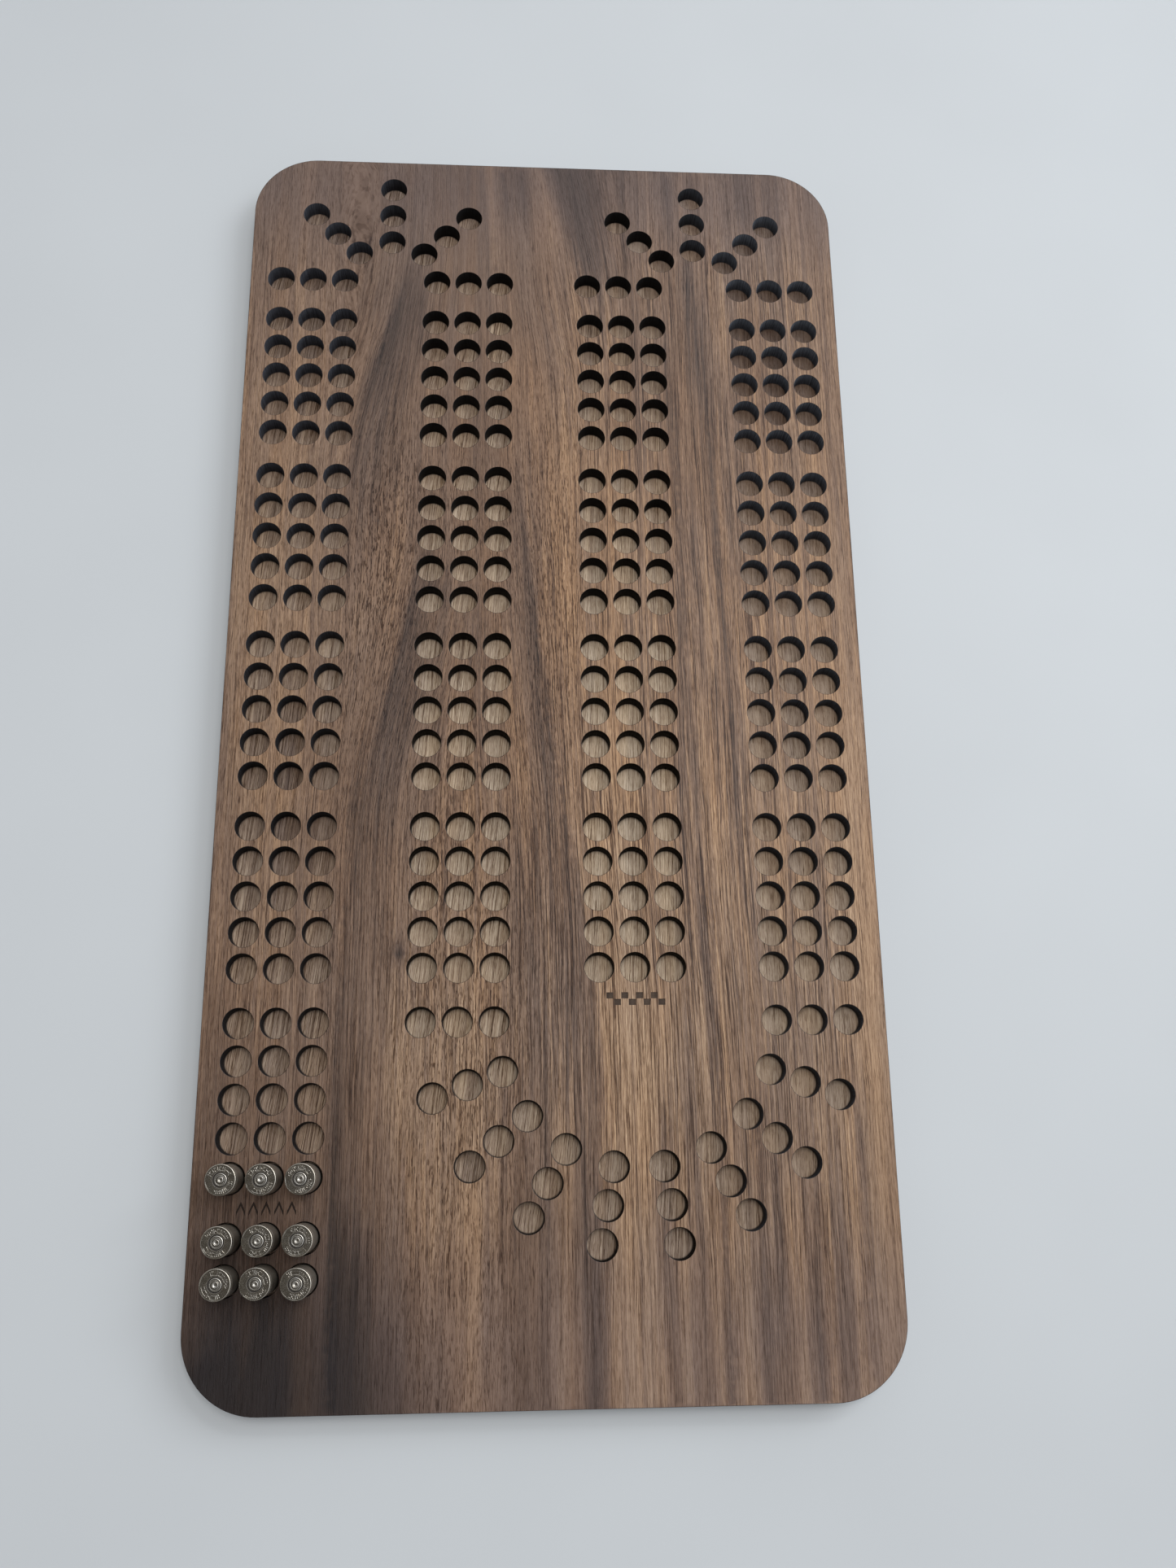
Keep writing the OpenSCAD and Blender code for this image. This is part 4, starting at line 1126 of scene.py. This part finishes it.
def add_primer(peg, seed, material):
    node = peg + "_primer_cup"
    low, high = box_mm(node)
    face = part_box(peg + "_case")[1].z / MM - PRIMER_SINK
    rng = np.random.RandomState(seed)
    angles = ring_angles(PRIMER_SEGMENTS)
    # round dent, a little off centre
    dent_x, dent_y = rng.uniform(-0.14, 0.14, 2)
    dent_r = 0.74 + rng.uniform(-0.05, 0.06)
    dent_depth = 0.40 + rng.uniform(-0.05, 0.04)
    flat_r, inner_r = PRIMER_R - PRIMER_ROUND, PRIMER_R - PRIMER_WALL
    rings = []
    for r in np.concatenate([np.linspace(0.02, 1.35, 24), np.linspace(1.40, flat_r, 9)]):
        q = np.hypot(r * np.cos(angles) - dent_x, r * np.sin(angles) - dent_y) / dent_r
        bowl = dent_depth * np.sqrt(np.clip(1 - np.clip(q, 0, 1) ** 2, 0, 1))
        bowl = bowl * np.clip((1.0 - q) * 6, 0, 1) ** 0.5
        lip = 0.06 * np.exp(-((q - 1.16) / 0.13) ** 2)
        moat = 0.055 * np.exp(-((r - 1.5) / 0.2) ** 2)
        # painted shade round the rim of the dent and in the ring beyond it
        darkness = (0.55 * np.exp(-((q - 0.98) / 0.07) ** 2) + 0.05 * (q < 0.9)
                + 0.14 * math.exp(-((r - 1.5) / 0.17) ** 2))
        rings.append((r, face, -bowl + lip - moat, np.clip(darkness, 0, 1)))
    # the rounded edge is painted darker going down towards the pocket: painted shade
    for k in range(1, 8):
        t = math.radians(90 * k / 7)
        rings.append((flat_r + PRIMER_ROUND * math.sin(t),
                      face - PRIMER_ROUND + PRIMER_ROUND * math.cos(t), 0.0,
                      0.06 if k < 3 else min(1.0, 0.36 * (k - 2))))
    # side of the cup, its open foot and the inside
    for r, z in ((PRIMER_R, face - 1.2), (PRIMER_R, low.z), (inner_r, low.z),
                 (inner_r, face - 0.70), (inner_r - 0.25, face - 0.55), (1.25, face - 0.56),
                 (0.7, face - 0.80), (0.02, face - 0.88)):
        rings.append((r, z, 0.0, 1.0))
    centre = ((low.x + high.x) / 2, (low.y + high.y) / 2)
    mesh = turned_mesh(peg + "_fired_primer", rings, PRIMER_SEGMENTS, centre, closed=False)
    finish_mesh(mesh, peg, node, [material], 60)


# =============================================================================
# Assembly
# =============================================================================
top_walnut = walnut("walnut_top_figured", TOP_PALETTE, pore_gain=1.0, roughness=0.42,
                    seed=0.0, shift=-0.15, warmth=0.60)
backer_walnut = walnut("walnut_backer_figured", BACKER_PALETTE, pore_gain=0.9, roughness=0.5,
                       seed=40.0, shift=-0.13, warmth=0.0)
cut_edge = charred("laser_cut_edge", tint=(0.030, 0.024, 0.022), sheen=0.35, glow=2.2)
# the hole walls carry a painted reflection and painted shade
hole_wall = charred("laser_cut_hole_wall", tint=(0.0036, 0.0033, 0.0033), sheen=0.07,
                    glow=1.4, painted_sheen_and_shade=True)
add_top_panel([top_walnut, cut_edge, hole_wall, engraved("engraved_mark")])
add_backer_panel([backer_walnut, cut_edge])

brass = sooty_brass("sooty_brass")
places = [(column, row) for row in ("rear", "middle", "front")
          for column in ("left", "centre", "right")]
for index, (column, row) in enumerate(places):
    place = f"{column}_{row}"
    case_nickel = nickel("nickel_case_" + place, base=(0.60, 0.545, 0.455), roughness=0.22,
                         seed=3.0 * index)
    # the last argument makes the primer's darkening, painted shade, a little stronger
    primer_nickel = nickel("nickel_primer_" + place, base=(0.64, 0.595, 0.515),
                           roughness=0.17, seed=3.0 * index + 50, soot_and_shade_gain=1.1)
    add_case("peg_" + place, 100 + index, case_nickel)
    add_primer("peg_" + place, 277 + index, primer_nickel)
    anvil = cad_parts["peg_" + place + "_anvil"]
    anvil.data.materials.clear()
    anvil.data.materials.append(brass)

# =============================================================================
# Floor, sky, lights and camera (metres)
# =============================================================================
FLOOR_HALF = 3.0
floor_mesh = bpy.data.meshes.new("pale_table")
floor_corners = [(sx * FLOOR_HALF, sy * FLOOR_HALF, 0)
                 for sx, sy in ((-1, -1), (1, -1), (1, 1), (-1, 1))]
floor_mesh.from_pydata(floor_corners, [], [(0, 1, 2, 3)])
floor = bpy.data.objects.new("pale_table", floor_mesh)
bpy.context.scene.collection.objects.link(floor)
floor_mesh.materials.append(table_top("pale_table_top", rgb=(205, 209, 212)))

# Skies: base colour, then zones of (direction, cosine where the zone starts,
# cosine where it is full, colour). SKY_LIGHT lights the scene; SKY_SEEN is what
# shiny surfaces reflect, dark overhead and bright beyond.
SKY_LIGHT = ((0.18, 0.186, 0.193), [
    ((0.75, 0.25, 0.62), 0.55, 0.98, (0.64, 0.67, 0.72)),
    ((0.15, 0.85, 0.50), 0.60, 0.98, (0.42, 0.44, 0.47)),
    ((-0.30, -0.12, 1.0), 0.80, 0.97, (0.065, 0.065, 0.065)),
    ((0.0, 0.0, -1.0), 0.0, 0.5, (0.20, 0.20, 0.20)),
])
SKY_SEEN = ((0.42, 0.44, 0.48), [
    ((0.70, 0.55, 0.60), 0.35, 0.90, (1.45, 1.54, 1.72)),
    ((-0.75, -0.60, 0.35), 0.20, 0.90, (0.07, 0.07, 0.07)),
    ((0.0, 0.0, -1.0), -0.32, 0.05, (0.20, 0.20, 0.20)),
    ((-0.20, -0.10, 1.0), 0.80, 0.955, (0.072, 0.068, 0.063)),
])


def sky_colour(g, direction, base, zones):
    sky = base + (1,)
    for axis, start, full, colour in zones:
        cosine = g.node("VectorMath", {0: direction, 1: tuple(Vector(axis).normalized())},
                        "Value", operation="DOT_PRODUCT")
        sky = g.mix(g.fade(cosine, start, full), sky, colour + (1,))
    return sky


def add_world():
    world = bpy.data.worlds.new("studio")
    g = Graph(world)
    direction = g.node("TexCoord", {}, "Generated")
    reflected = g.node("LightPath", {}, "Is Glossy Ray")
    sky = g.mix(reflected, sky_colour(g, direction, *SKY_LIGHT),
                sky_colour(g, direction, *SKY_SEEN))
    background = g.node("Background", {"Color": sky, "Strength": 1.0})
    g.node("OutputWorld", {0: background})
    bpy.context.scene.world = world


def area_light(name, location, size, power, colour, reflected):
    """Rectangular light aimed at the origin."""
    data = bpy.data.lights.new(name, "AREA")
    data.shape = "RECTANGLE"
    data.size, data.size_y = size
    data.energy = power
    data.color = colour
    ob = bpy.data.objects.new(name, data)
    ob.location = location
    ob.rotation_euler = (-Vector(location)).to_track_quat("-Z", "Y").to_euler()
    ob.visible_glossy = reflected
    bpy.context.scene.collection.objects.link(ob)


def add_camera():
    data = bpy.data.cameras.new("photo_camera")
    data.lens = 30.2101
    data.sensor_width = 36
    data.clip_start = 0.01
    data.clip_end = 20
    camera = bpy.data.objects.new("photo_camera", data)
    rotation = Matrix(((0.9982030396436339, -0.0040165604484107735, -0.05978761484098512),
                       (-0.012316557029596345, 0.9626947607639087, -0.270309267359921),
                       (0.05864293707810364, 0.2705599098903694, 0.960915366247709)))
    place = Matrix.Translation((-0.01407310, -0.15943264, 0.47421335))
    camera.matrix_world = place @ rotation.to_4x4()
    bpy.context.scene.collection.objects.link(camera)
    bpy.context.scene.camera = camera


add_world()
area_light("soft_overhead", location=(0.06, 0.03, 1.45), size=(0.55, 0.55), power=10.6,
           colour=(1.0, 0.985, 0.965), reflected=False)
area_light("small_lamp", location=(0.32, 0.46, 1.15), size=(0.11, 0.11), power=0.7,
           colour=(1.0, 0.97, 0.93), reflected=True)
area_light("soft_window", location=(1.05, 0.55, 1.2), size=(0.7, 0.9), power=8.6,
           colour=(0.93, 0.97, 1.0), reflected=True)
add_camera()
bpy.context.scene.view_settings.view_transform = "Standard"
